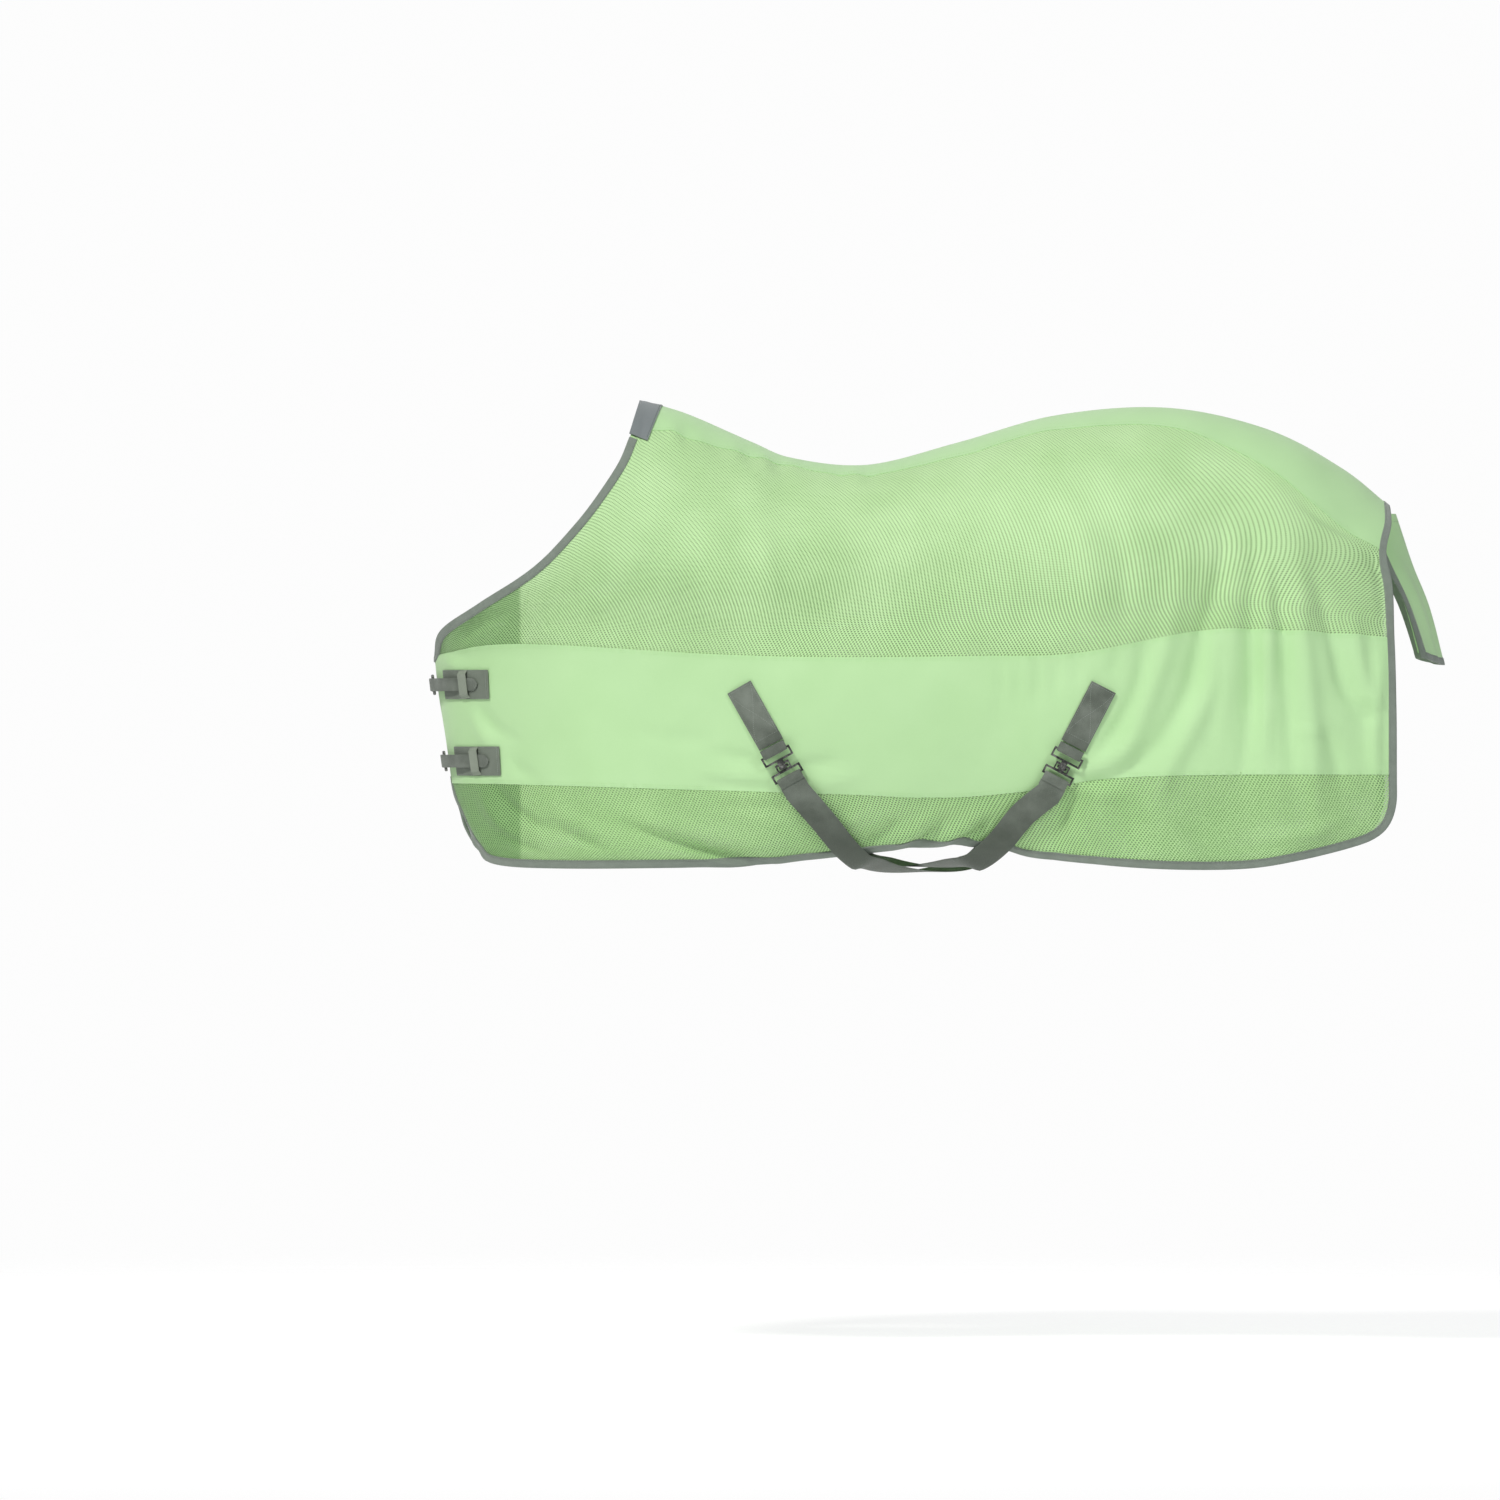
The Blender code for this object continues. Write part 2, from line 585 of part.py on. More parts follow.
def make_closure(level, middle, materials):
    metal, webbing, patch = materials["buckle"], materials["webbing"], materials["patch"]
    bar, forward, outward = buckle_axes(middle)
    up = chest_rise(middle)
    half = FRAME_HEIGHT / 2
    roller = bar + forward * FRAME_GAP
    corners = [bar - up * half, roller - up * half, roller + up * half, bar + up * half]
    wire_loop(f"buckle_frame_{level}", corners, FRAME_WIRE, metal)
    tube(f"buckle_roller_{level}", roller, up, FRAME_WIRE / 2 + CLEAR, ROLLER_RADIUS,
         BILLET_WIDTH + 0.001, metal)
    make_prong(f"buckle_prong_{level}", bar, forward, outward, metal)
    make_chape(f"chest_chape_{level}", middle, bar, forward, outward, webbing)
    for name, (first, last) in (("chest_patch", PATCH_NEAR), ("billet_patch", PATCH_FAR)):
        turns = [first + (last - first) * k / PATCH_STEPS for k in range(PATCH_STEPS + 1)]
        chest_strap(f"{name}_{level}", [(turn, CHEST_BASE) for turn in turns], middle, PATCH_HEIGHT, patch,
                    PATCH_THICK)
    rest = CHEST_BASE + PATCH_THICK + LAID
    low = CLOTH + BILLET_CLOSE
    above = BAR_LIFT + FOLD_INNER + WEBBING + 2 * RUNNING
    # turn round the chest and lift: sewn down, close over the middle, up through the buckle, down to the tip
    billet = [(-0.82, rest), (-0.72, rest), (-0.62, rest), (-0.52, rest), (-0.42, rest), (-0.32, rest),
              (-0.22, rest - 0.001), (-0.12, low), (-0.05, low), (0.0, low), (0.030, low), (0.050, low + 0.0016),
              (0.085, above - 0.003), (0.105, above), (0.140, above), (0.200, above - 0.0012),
              (0.27, above - 0.0018), (0.36, above - 0.002), (0.45, above - 0.0022), (0.53, rest + 0.0036),
              (0.59, rest), (0.66, rest), (0.74, rest)]
    piece = chest_strap(f"billet_{level}", billet, middle, BILLET_WIDTH, webbing, BILLET_THICK)
    cut_slot(piece, bar + forward * FRAME_GAP * 0.36, SLOT_SIZE)
    keeper = [(turn, CHEST_BASE + PATCH_THICK + SEAM) for turn in KEEPER_TURNS]
    chest_strap(f"keeper_{level}", keeper, middle, BILLET_WIDTH + KEEPER_PAST, webbing, KEEPER_THICK,
                arch=LAID + BILLET_THICK + KEEPER_ROOM)


def cut_slot(piece, centre, size):
    """Cut a plain slot through a piece."""
    bm = bmesh.new()
    bmesh.ops.create_cube(bm, size=1.0)
    bmesh.ops.scale(bm, vec=Vector(size), verts=bm.verts)
    bmesh.ops.translate(bm, vec=centre, verts=bm.verts)
    mesh = finish_mesh(bm, piece.name + "_slot")
    cutter = bpy.data.objects.new(piece.name + "_slot", mesh)
    bpy.context.collection.objects.link(cutter)
    cutter.hide_render = True
    cutter.display_type = "WIRE"
    modifier = piece.modifiers.new("slot", "BOOLEAN")
    modifier.operation = "DIFFERENCE"
    modifier.object = cutter


def round_bar(bar, forward, outward, radius, degrees):
    turn = math.radians(degrees)
    return bar + (forward * math.cos(turn) + outward * math.sin(turn)) * radius


def make_prong(name, bar, forward, outward, material):
    """Tongue of the buckle: rod bent round the bar into an eye, its tip resting over the roller."""
    radius = (EYE_INNER + EYE_OUTER) / 2
    turns = [EYE_START + (90 - EYE_START) * k / EYE_STEPS for k in range(EYE_STEPS + 1)]
    rest = ROLLER_RADIUS + RUNNING + EYE_WALL / 2
    path = [round_bar(bar, forward, outward, radius, turn) for turn in turns]
    path += [bar + forward * (FRAME_GAP + PRONG_PAST) * share + outward * (radius + (rest - radius) * rise)
             for share, rise in ((0.22, 0.18), (0.50, 0.72), (0.72, 1.0), (1.0, 1.0))]
    left, right = [], []
    for k, p in enumerate(path):
        course = (path[min(k + 1, len(path) - 1)] - path[max(k - 1, 0)]).normalized()
        across = Vector((course.y, -course.x, 0)).normalized() * EYE_WALL / 2
        left.append(p + across)
        right.append(p - across)
    up = Vector((0, 0, PRONG_HALF))
    rows_left = [[p - up for p in left], [p + up for p in left]]
    rows_right = [[p - up for p in right], [p + up for p in right]]
    shell(name, rows_left, rows_right, material)


def make_chape(name, middle, bar, forward, outward, material):
    """Webbing from the patch to the buckle, folded round the bar, with a slot for the prong."""
    low = CHEST_BASE + PATCH_THICK + LAID
    radius = FOLD_INNER + WEBBING / 2
    bend = [round_bar(bar, forward, outward, radius, 90 - 180 * k / 8) for k in range(9)]
    under = [chest_place(a, middle, low + WEBBING / 2) for a in CHAPE_TURNS]
    over = [chest_place(a, middle, low + WEBBING * 1.5 + SEAM) for a in CHAPE_TURNS]
    for share in (0.33, 0.66):
        angle = CHAPE_TURNS[-1] + (BUCKLE_ANGLE - CHAPE_TURNS[-1]) * share
        gap = BAR_LIFT - radius
        under.append(chest_place(angle, middle, (low + WEBBING / 2) * (1 - share) + gap * share))
        over.append(chest_place(angle, middle, (low + WEBBING * 1.5) * (1 - share)
                                + (BAR_LIFT + radius) * share))
    path = over + bend + list(reversed(under))
    left, right = [], []
    for k, p in enumerate(path):
        course = (path[min(k + 1, len(path) - 1)] - path[max(k - 1, 0)]).normalized()
        across = Vector((course.y, -course.x, 0)).normalized() * WEBBING / 2
        left.append(p + across)
        right.append(p - across)
    up = chest_rise(middle) * BILLET_WIDTH / 2
    rows_left = [[p - up for p in left], [p + up for p in left]]
    rows_right = [[p - up for p in right], [p + up for p in right]]
    piece = shell(name, rows_left, rows_right, material)
    cut_slot(piece, bar + forward * FOLD_INNER * 1.5, CHAPE_SLOT)


def clip_frame(which):
    """Local frame of a surcingle clip on the near side: origin at the tab's lower end."""
    (x, z), direction = CLIPS[which]
    down = Vector((direction[0], 0, direction[1])).normalized()
    foot = Vector((x, 0, z)) + down * SURCINGLE_TAB
    return foot, down


def clip_place(which, along, across, lift):
    """A place near a clip: along the webbing past the tab's foot, across it, lifted off the cloth."""
    foot, down = clip_frame(which)
    side = Vector((-down.z, 0, down.x))
    flat = foot + down * along + side * across
    return skin_point(flat.x, flat.z, lift)


def clip_matrix(which, along, lift):
    """Axes of a flat metal piece: X along the webbing, Y across it, Z outwards."""
    centre = clip_place(which, along, 0.0, lift)
    x_axis = (clip_place(which, along + 0.015, 0, lift) - clip_place(which, along - 0.015, 0, lift)).normalized()
    across = clip_place(which, along, 0.015, lift) - clip_place(which, along, -0.015, lift)
    z_axis = x_axis.cross(across).normalized()
    if z_axis.y > 0:
        z_axis.negate()
    y_axis = z_axis.cross(x_axis)
    return Matrix((x_axis, y_axis, z_axis)).transposed().to_4x4(), centre


def rectangle(x_low, x_high, half):
    return [(x_low, -half), (x_high, -half), (x_high, half), (x_low, half)]


def plate(name, outline, holes, low, high, matrix, material):
    """Flat metal cut to an outline, with holes through it, set in place by a matrix."""
    bm = bmesh.new()
    edges, loops = [], []
    for places in [outline] + holes:
        loop = [bm.verts.new((x, y, high)) for x, y in places]
        edges += [bm.edges.new((loop[k], loop[(k + 1) % len(loop)])) for k in range(len(loop))]
        loops.append(loop)
    faces = bmesh.ops.triangle_fill(bm, edges=edges, use_beauty=True)["geom"]
    faces = [f for f in faces if isinstance(f, bmesh.types.BMFace)]
    under = {v: bm.verts.new((v.co.x, v.co.y, low)) for loop in loops for v in loop}
    for face in faces:
        bm.faces.new([under[v] for v in reversed(face.verts)])
    for loop in loops:
        for k, v in enumerate(loop):
            w = loop[(k + 1) % len(loop)]
            bm.faces.new((v, w, under[w], under[v]))
    bmesh.ops.transform(bm, matrix=matrix, verts=bm.verts)
    return make_object(name, finish_mesh(bm, name), material, smooth=False)


def unite(piece, other):
    """Weld another solid onto a piece."""
    other.hide_render = True
    other.display_type = "WIRE"
    modifier = piece.modifiers.new(other.name, "BOOLEAN")
    modifier.operation = "UNION"
    modifier.object = other


LOOP_DEPTH = 0.016        # along the webbing, outside
LOOP_BAR = 0.0034
UNDER_BELLY = -0.786
STRAP_LIFT = 0.0110       # middle of the strap's run over the lower mesh
CLIP_LIFT = 0.0105        # middle of the hook's plate above the cloth
SLOT_BODY = 0.013         # along the webbing, of the plate with the slot
SLOT_BODY_HALF = 0.0130
SLOT_LONG, SLOT_HALF, SLOT_WALL = 0.0085, 0.0105, 0.0035
NECK_HALF = 0.0055
NECK_LONG = 0.016
POST_LONG, POST_HALF, POST_INSET = 0.0045, 0.0030, 0.0010
FOOT_HALF = 0.0085
FOOT_TOP, FOOT_LOW = 0.0052, 0.0071    # below the hook's plate
PLATE_GAP = 0.0005        # more room between the hook and the slot plate
SLOT_START = 0.0048       # from the hook's loop to the slot plate's edge
FAR_PATCH_LONG, FAR_PATCH_HALF, FAR_PATCH_PAST = 0.125, 0.031, 0.012
FOLD_ROOM = 0.0009        # round the bar inside a fold of webbing
FOLD_TAIL, FOLD_PINCH = 0.0120, 0.55   # length of a fold, and how far its ends close up
TAB_END = 0.007           # the tab stops short of its own foot
STRAP_START, STRAP_NEXT = 0.0135, 0.030    # strap's first places past the slot plate's bar
STRAP_FIRST_SHARE = 0.085 # where the strap joins its run
STRAP_STEPS = 30


def make_clip(which, materials):
    """Tab, T-hook and slot plate of one near-side surcingle clip."""
    width = SURCINGLE_WIDTH
    base = CLOTH + LAID
    # the sewn tab lies on the cloth, and ends in a fold round the hook's bar
    rows = []
    for k in range(7):
        along = -SURCINGLE_TAB + (SURCINGLE_TAB - TAB_END) * k / 6
        rows.append((along, base))
    make_webbing(f"surcingle_tab_{which}", which, rows, width, 2 * WEBBING, materials["webbing"])
    rotation, centre = clip_matrix(which, 0.0075, CLOTH + CLIP_LIFT)
    matrix = Matrix.Translation(centre) @ rotation
    half = width / 2 + LOOP_BAR + CLEAR
    t = CLASP_THICK / 2
    bar = LOOP_BAR / 2
    # bar of the loop is at local x 0; the fold of webbing goes round it
    neck_end = LOOP_DEPTH + NECK_LONG
    outline = [(-bar, -half), (LOOP_DEPTH, -half), (LOOP_DEPTH, -NECK_HALF), (neck_end, -NECK_HALF),
               (neck_end, NECK_HALF), (LOOP_DEPTH, NECK_HALF), (LOOP_DEPTH, half), (-bar, half)]
    opening = rectangle(bar, LOOP_DEPTH - LOOP_BAR, half - LOOP_BAR)
    metal = materials["clasp"]
    hook = plate(f"t_hook_{which}", outline, [opening], -t, t, matrix, metal)
    foot_top, foot_low, root = -t - FOOT_TOP, -t - FOOT_LOW, -t + PLATE_GAP
    profile = [(foot_low, -FOOT_HALF), (foot_top, -FOOT_HALF), (foot_top, -POST_HALF), (root, -POST_HALF),
               (root, POST_HALF), (foot_top, POST_HALF), (foot_top, FOOT_HALF), (foot_low, FOOT_HALF)]
    turn = Matrix(((0, 0, 1, 0), (0, 1, 0, 0), (1, 0, 0, 0), (0, 0, 0, 1)))
    unite(hook, plate(f"t_hook_{which}_post", profile, [], neck_end - POST_INSET - POST_LONG,
                      neck_end - POST_INSET,
                      matrix @ turn, metal))
    make_fold(f"hook_fold_{which}", matrix, width, bar, t, -1, materials["webbing"])
    # slot plate: behind the hook's neck, its slot takes the hook's post
    level = -2 * t - SEAM - PLATE_GAP
    start = LOOP_DEPTH + SLOT_START
    loop_start = start + SLOT_BODY
    outline = [(start, -SLOT_BODY_HALF), (loop_start, -SLOT_BODY_HALF), (loop_start, -half),
               (loop_start + LOOP_DEPTH, -half), (loop_start + LOOP_DEPTH, half), (loop_start, half),
               (loop_start, SLOT_BODY_HALF), (start, SLOT_BODY_HALF)]
    holes = [rectangle(start + SLOT_WALL, start + SLOT_WALL + SLOT_LONG, SLOT_HALF),
             rectangle(loop_start + LOOP_BAR, loop_start + LOOP_DEPTH - 2 * bar, half - LOOP_BAR)]
    plate(f"slot_plate_{which}", outline, holes, level - t, level + t, matrix, metal)
    far_bar = start + SLOT_BODY + LOOP_DEPTH - bar
    shift = matrix @ Matrix.Translation((far_bar, 0, level))
    make_fold(f"strap_fold_{which}", shift, width, bar, t, 1, materials["webbing"])
    return matrix, far_bar, level


def make_fold(name, matrix, width, bar, t, direction, material):
    """A loop of webbing round a flat bar, running back from it to where it is sewn."""
    rise, reach = t + FOLD_ROOM + WEBBING / 2, bar + FOLD_ROOM + WEBBING / 2
    straight = [(direction * FOLD_TAIL, rise * FOLD_PINCH), (direction * FOLD_TAIL / 2, rise)]
    path = [(x, 0.0, z) for x, z in straight]
    for k in range(7):
        turn = math.pi / 2 + math.pi * k / 6
        path.append((direction * math.cos(turn) * reach, 0.0, math.sin(turn) * rise))
    path += [(x, 0.0, -z) for x, z in reversed(straight)]
    left, right = [], []
    for k, p in enumerate(path):
        p = Vector(p)
        ahead, behind = Vector(path[min(k + 1, len(path) - 1)]), Vector(path[max(k - 1, 0)])
        tangent = (ahead - behind).normalized()
        across = Vector((tangent.z, 0, -tangent.x)) * WEBBING / 2
        left.append(p + across)
        right.append(p - across)
    half = width / 2 - CLEAR
    side = Vector((0, half, 0))
    rows_left = [[matrix @ (p - side) for p in left], [matrix @ (p + side) for p in left]]
    rows_right = [[matrix @ (p - side) for p in right], [matrix @ (p + side) for p in right]]
    shell(name, rows_left, rows_right, material)


def make_webbing(name, which, rows, width, thick, material):
    inner = [[clip_place(which, a, s * width / 2, lift) for s in (-1, 0, 1)] for a, lift in rows]
    outer = [[clip_place(which, a, s * width / 2, lift + thick) for s in (-1, 0, 1)] for a, lift in rows]
    shell(name, outer, inner, material)


def strap_place(which, t, entry, leave):
    """Centre and outward direction of a strap at a share t of its run in the side view."""
    x, z = curve_point(STRAP_PATHS[which], t)
    if entry <= t <= leave:
        ends = [strap_place(which, limit, 2, 2)[0] for limit in (entry, leave)]
        share = (x - ends[0].x) / (ends[1].x - ends[0].x)
        y = ends[0].y + (ends[1].y - ends[0].y) * share
        return Vector((x, y, z)), Vector((0, y, -0.20)).normalized()
    lift = STRAP_LIFT
    place, outer = skin_point(x, z, CLOTH + lift), skin_point(x, z, CLOTH + lift + 0.01)
    out = (outer - place).normalized()
    if t > 0.5:
        place.y, out.y = -place.y, -out.y
    return place, out


def make_strap(which, matrix, far_bar, level, materials):
    """Webbing from the slot plate, crossing under the belly, to the sewn patch on the far side."""
    below = [k / 200 for k in range(201) if curve_point(STRAP_PATHS[which], k / 200).y < UNDER_BELLY]
    entry, leave = below[0], below[-1]
    start = matrix @ Vector((far_bar + STRAP_START, 0, level))
    start_next = matrix @ Vector((far_bar + STRAP_NEXT, 0, level))
    out = (matrix.to_3x3() @ Vector((0, 0, 1))).normalized()
    stations = [(start, out), (start_next, out)]
    stations += [strap_place(which, STRAP_FIRST_SHARE + (1 - STRAP_FIRST_SHARE) * k / STRAP_STEPS, entry, leave)
                 for k in range(STRAP_STEPS + 1)]
    half = SURCINGLE_WIDTH / 2
    inner, outer = [], []
    for k, (place, out) in enumerate(stations):
        near = stations[max(k - 1, 0):k + 2]
        out = sum((pair[1] for pair in near), Vector()).normalized()
        course = (near[-1][0] - near[0][0]).normalized()
        out = (out - course * out.dot(course)).normalized()
        across = course.cross(out).normalized()
        inner.append([place + across * half, place - across * half])
        outer.append([q + out * WEBBING for q in inner[-1]])
    shell(f"surcingle_strap_{which}", outer, inner, materials["webbing"])


def make_far_patch(which, materials):
    """The patch on the far side that the strap's other end is sewn to."""
    x, z = STRAP_PATHS[which][-1]
    before = STRAP_PATHS[which][-2]
    down = (Vector((before[0], 0, before[1])) - Vector((x, 0, z))).normalized()
    side = Vector((-down.z, 0, down.x))
    inner, outer = [], []
    base = CLOTH + LAID
    for k in range(7):
        along = -FAR_PATCH_PAST + FAR_PATCH_LONG * k / 6
        row_in, row_out = [], []
        for s in (-1, 0, 1):
            flat = Vector((x, 0, z)) + down * along + side * s * FAR_PATCH_HALF
            a, b = skin_point(flat.x, flat.z, base), skin_point(flat.x, flat.z, base + PATCH_THICK)
            row_in.append(Vector((a.x, -a.y, a.z)))
            row_out.append(Vector((b.x, -b.y, b.z)))
        inner.append(row_in)
        outer.append(row_out)
    shell(f"surcingle_patch_{which}", outer, inner, materials["patch"])


def make_materials():
    green, grey = (0.48, 0.73, 0.36), (0.22, 0.25, 0.22)
    table = {
        "topline_panel": (green, 0.75), "upper_mesh": (green, 0.80), "solid_band": (green, 0.75),
        "lower_mesh": (green, 0.80), "chest_lining": (green, 0.85), "tail_flap": (green, 0.80),
        "binding": ((0.25, 0.29, 0.25), 0.70), "withers_patch": ((0.23, 0.26, 0.27), 0.55),
        "patch": (grey, 0.75), "webbing": (grey, 0.80),
    }
    made = {name: make_material(name, colour, rough) for name, (colour, rough) in table.items()}
    made["buckle"] = make_material("buckle", (0.12, 0.12, 0.12), 0.35, 1.0)
    made["clasp"] = make_material("clasp", (0.07, 0.08, 0.07), 0.30, 1.0)
    return made


def main():
    clean_scene()
    materials = make_materials()
    make_panels(materials)
    make_topline(materials)
    make_chest_linings(materials)
    make_withers_patch(materials)
    make_tail_flap(materials)
    for level, middle in CLOSURES.items():
        make_closure(level, middle, materials)
    for which in CLIPS:
        matrix, far_bar, plate_level = make_clip(which, materials)
        make_strap(which, matrix, far_bar, plate_level, materials)
        make_far_patch(which, materials)


main()
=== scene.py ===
"""Fly sheet for a horse: knitted panels, tape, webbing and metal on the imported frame."""
import math

import bmesh
import bpy
import numpy as np
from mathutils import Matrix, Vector


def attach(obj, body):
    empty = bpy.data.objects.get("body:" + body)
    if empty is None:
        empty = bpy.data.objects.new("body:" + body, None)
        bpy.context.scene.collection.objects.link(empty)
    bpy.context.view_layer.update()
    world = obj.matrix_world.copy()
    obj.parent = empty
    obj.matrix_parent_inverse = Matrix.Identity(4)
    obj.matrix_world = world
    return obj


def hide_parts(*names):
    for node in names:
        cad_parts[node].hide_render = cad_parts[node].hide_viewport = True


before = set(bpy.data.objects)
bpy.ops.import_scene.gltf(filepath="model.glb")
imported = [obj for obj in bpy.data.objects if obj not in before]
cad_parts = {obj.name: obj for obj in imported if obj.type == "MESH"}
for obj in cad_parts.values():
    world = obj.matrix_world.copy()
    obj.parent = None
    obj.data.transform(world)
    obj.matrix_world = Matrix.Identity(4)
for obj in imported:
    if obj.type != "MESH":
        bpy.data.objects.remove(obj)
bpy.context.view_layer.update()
SIDES = {"near": -1, "far": 1}

# ---------------------------------------------------------------- sizes, in metres
MESH_LIFT, MESH_THICK = 0.0002, 0.0008
KNIT_LIFT, KNIT_THICK = 0.0009, 0.0010
LAP = 0.007                    # cloth lapped under the next panel at a seam
TAPE_WIDTH, TAPE_HALF = 0.0135, 0.0020
TAPE_MIDDLE = 0.0010
CLOTH_TOP = 0.0020
WEB_WIDTH, WEB_THICK = 0.046, 0.0017
TAB_LENGTH = 0.118
BILLET_WIDTH = 0.022
PATCH_TALL, PATCH_THICK = 0.050, 0.0014
LAID = 0.0018
STITCH, THREAD = 0.0042, 0.00045
STITCH_PROUD = 0.0004          # thread standing off the cloth it holds
TAPE_SEAM = 0.0112             # the tape's stitching, in from its edge
TAPE_RIM = 0.00012             # what is left between the tape's faces at its two rims
TAPE_SECTION = [(-0.0010, 0.0), (-0.0006, 0.75), (0.0006, 1.0), (0.0040, 1.02), (0.0085, 1.0), (0.0118, 1.02),
                (TAPE_WIDTH - 0.0004, 0.82), (TAPE_WIDTH, 0.0)]     # (in from the edge, share of TAPE_HALF)
WEB_HEM = 0.30                 # webbing's thickness at its selvedges, as a share of its middle
MARCH_STEP = 0.0015            # longest step over the form, and the reach its slope is read over
PATCH_LIFT, PATCH_RISE = 0.0026, 0.0014     # the withers patch off the form, and more over the neck tape
WALE, COURSE, TAPE_RIB, WARP_CORD = 0.0011, 0.0016, 0.0016, 0.0015

# ---------------------------------------------------------------- the horse's form
BARREL, SHOULDER, RUMP, DOCK = 0.325, 0.270, 0.290, 0.235
BACK_ROUND, CHEST_ROUND = 0.40, 0.27
BELLY_LEVEL, WIDEST_LEVEL = -0.845, -0.40
TOPLINE = [(-0.004, -0.001), (0.032, -0.007), (0.090, -0.026), (0.190, -0.070), (0.262, -0.098),
           (0.391, -0.109), (0.544, -0.071), (0.714, -0.024), (0.901, -0.011), (1.071, -0.046),
           (1.200, -0.112), (1.285, -0.179)]
STRIP_EDGE = [(-0.017, -0.060), (0.032, -0.050), (0.090, -0.066), (0.190, -0.094), (0.262, -0.112),
              (0.391, -0.128), (0.544, -0.094), (0.714, -0.050), (0.901, -0.045), (1.060, -0.110),
              (1.180, -0.203), (1.272, -0.262)]
FLANK_TOP = [(-0.354, -0.434), (-0.212, -0.417), (0.136, -0.436), (0.340, -0.441), (0.578, -0.439),
             (0.741, -0.434), (0.957, -0.395), (1.120, -0.396), (1.285, -0.407)]
FLANK_FOOT = [(-0.324, -0.655), (-0.200, -0.657), (0.136, -0.667), (0.343, -0.673), (0.522, -0.678),
              (0.638, -0.670), (0.806, -0.646), (1.012, -0.640), (1.288, -0.640)]
HEM = [(-0.226, -0.796), (0.031, -0.798), (0.204, -0.792), (0.360, -0.776), (0.500, -0.761),
       (0.605, -0.764), (0.668, -0.779), (0.768, -0.791), (0.900, -0.800), (1.029, -0.799),
       (1.120, -0.785), (1.207, -0.764)]
NECK = [(-0.017, -0.060), (-0.042, -0.118), (-0.105, -0.208), (-0.180, -0.286), (-0.275, -0.348),
        (-0.340, -0.392), (-0.354, -0.434)]
CHEST = [(-0.354, -0.434), (-0.347, -0.500), (-0.335, -0.575), (-0.324, -0.655)]
FRONT_CORNER = [(-0.324, -0.655), (-0.313, -0.700), (-0.303, -0.735), (-0.283, -0.768), (-0.226, -0.796)]
DOCK_EDGE = [(1.285, -0.179), (1.283, -0.215), (1.272, -0.262)]
MESH_REAR = [(1.272, -0.262), (1.282, -0.320), (1.285, -0.407)]
FLANK_REAR = [(1.285, -0.407), (1.287, -0.520), (1.288, -0.640)]
REAR_CORNER = [(1.288, -0.640), (1.287, -0.690), (1.275, -0.725), (1.250, -0.748), (1.207, -0.764)]
LINING_FRONT = [(-0.290, -0.460), (-0.292, -0.560), (-0.278, -0.660), (-0.262, -0.740)]
LINING_SEAM = [(-0.190, -0.330), (-0.208, -0.420), (-0.216, -0.560), (-0.206, -0.650), (-0.180, -0.775)]
FLAP_SPINE = [(1.297, -0.192), (1.326, -0.280), (1.352, -0.352), (1.376, -0.452)]
FLAP_HALF, FLAP_WRAP, FLAP_TURN = 0.105, 0.062, 1.05
CLOSURES = {"upper": -0.486, "lower": -0.617}
CLIPS = {"front": ((0.169, -0.491), (0.492, -0.870)), "rear": ((0.787, -0.491), (-0.454, -0.891))}
STRAP_RUNS = {
    "front": [(0.262, -0.655), (0.314, -0.716), (0.357, -0.765), (0.408, -0.797), (0.480, -0.806),
              (0.552, -0.797), (0.603, -0.765), (0.646, -0.716), (0.698, -0.655), (0.760, -0.535)],
    "rear": [(0.698, -0.655), (0.650, -0.706), (0.610, -0.752), (0.560, -0.785), (0.480, -0.797),
             (0.400, -0.787), (0.350, -0.752), (0.310, -0.706), (0.262, -0.655), (0.200, -0.535)],
}
UNDER_BELLY = -0.786


def smooth_run(points, per_span=24):
    """Places along a smooth curve through the points."""
    p = np.array(points, float)
    p = np.vstack([2 * p[0] - p[1], p, 2 * p[-1] - p[-2]])
    f = np.linspace(0, 1, per_span, endpoint=False)[:, None]
    spans = []
    for k in range(1, len(p) - 2):
        a, b, c, d = p[k - 1], p[k], p[k + 1], p[k + 2]
        spans.append(0.5 * (2 * b + (c - a) * f + (2 * a - 5 * b + 4 * c - d) * f ** 2
                            + (3 * b - a - 3 * c + d) * f ** 3))
    return np.vstack(spans + [p[-2:-1]])


def outline_level(points):
    """A function giving an outline's second measure at its first, straight on past the ends."""
    run = smooth_run(points)
    first = (run[3, 1] - run[0, 1]) / (run[3, 0] - run[0, 0])
    last = (run[-1, 1] - run[-4, 1]) / (run[-1, 0] - run[-4, 0])

    def level(x):
        x = np.asarray(x, float)
        inside = np.interp(x, run[:, 0], run[:, 1])
        return (inside + first * np.minimum(x - run[0, 0], 0) + last * np.maximum(x - run[-1, 0], 0))
    return level


spine_level = outline_level(TOPLINE)
chest_level = outline_level([(p[1], p[0]) for p in reversed(CHEST)])
seam_levels = {name: outline_level(run) for name, run in
               (("strip", STRIP_EDGE), ("flank_top", FLANK_TOP), ("flank_foot", FLANK_FOOT), ("hem", HEM))}


def ease(x, start, end):
    """0 before start, 1 past end, and a smooth rise between them."""
    t = np.clip((x - start) / (end - start), 0, 1)
    return t * t * (3 - 2 * t)


def quarter(distance, reach):
    """The height of a quarter round, 0 at its foot and 1 from reach onwards."""
    t = np.clip(distance / reach, 0, 1)
    return np.sqrt(np.maximum(1 - (1 - t) ** 2, 0))


def crest(x):
    """The level of the horse's top line."""
    return np.where(x > 0, spine_level(x), -0.001 - 0.35 * x)


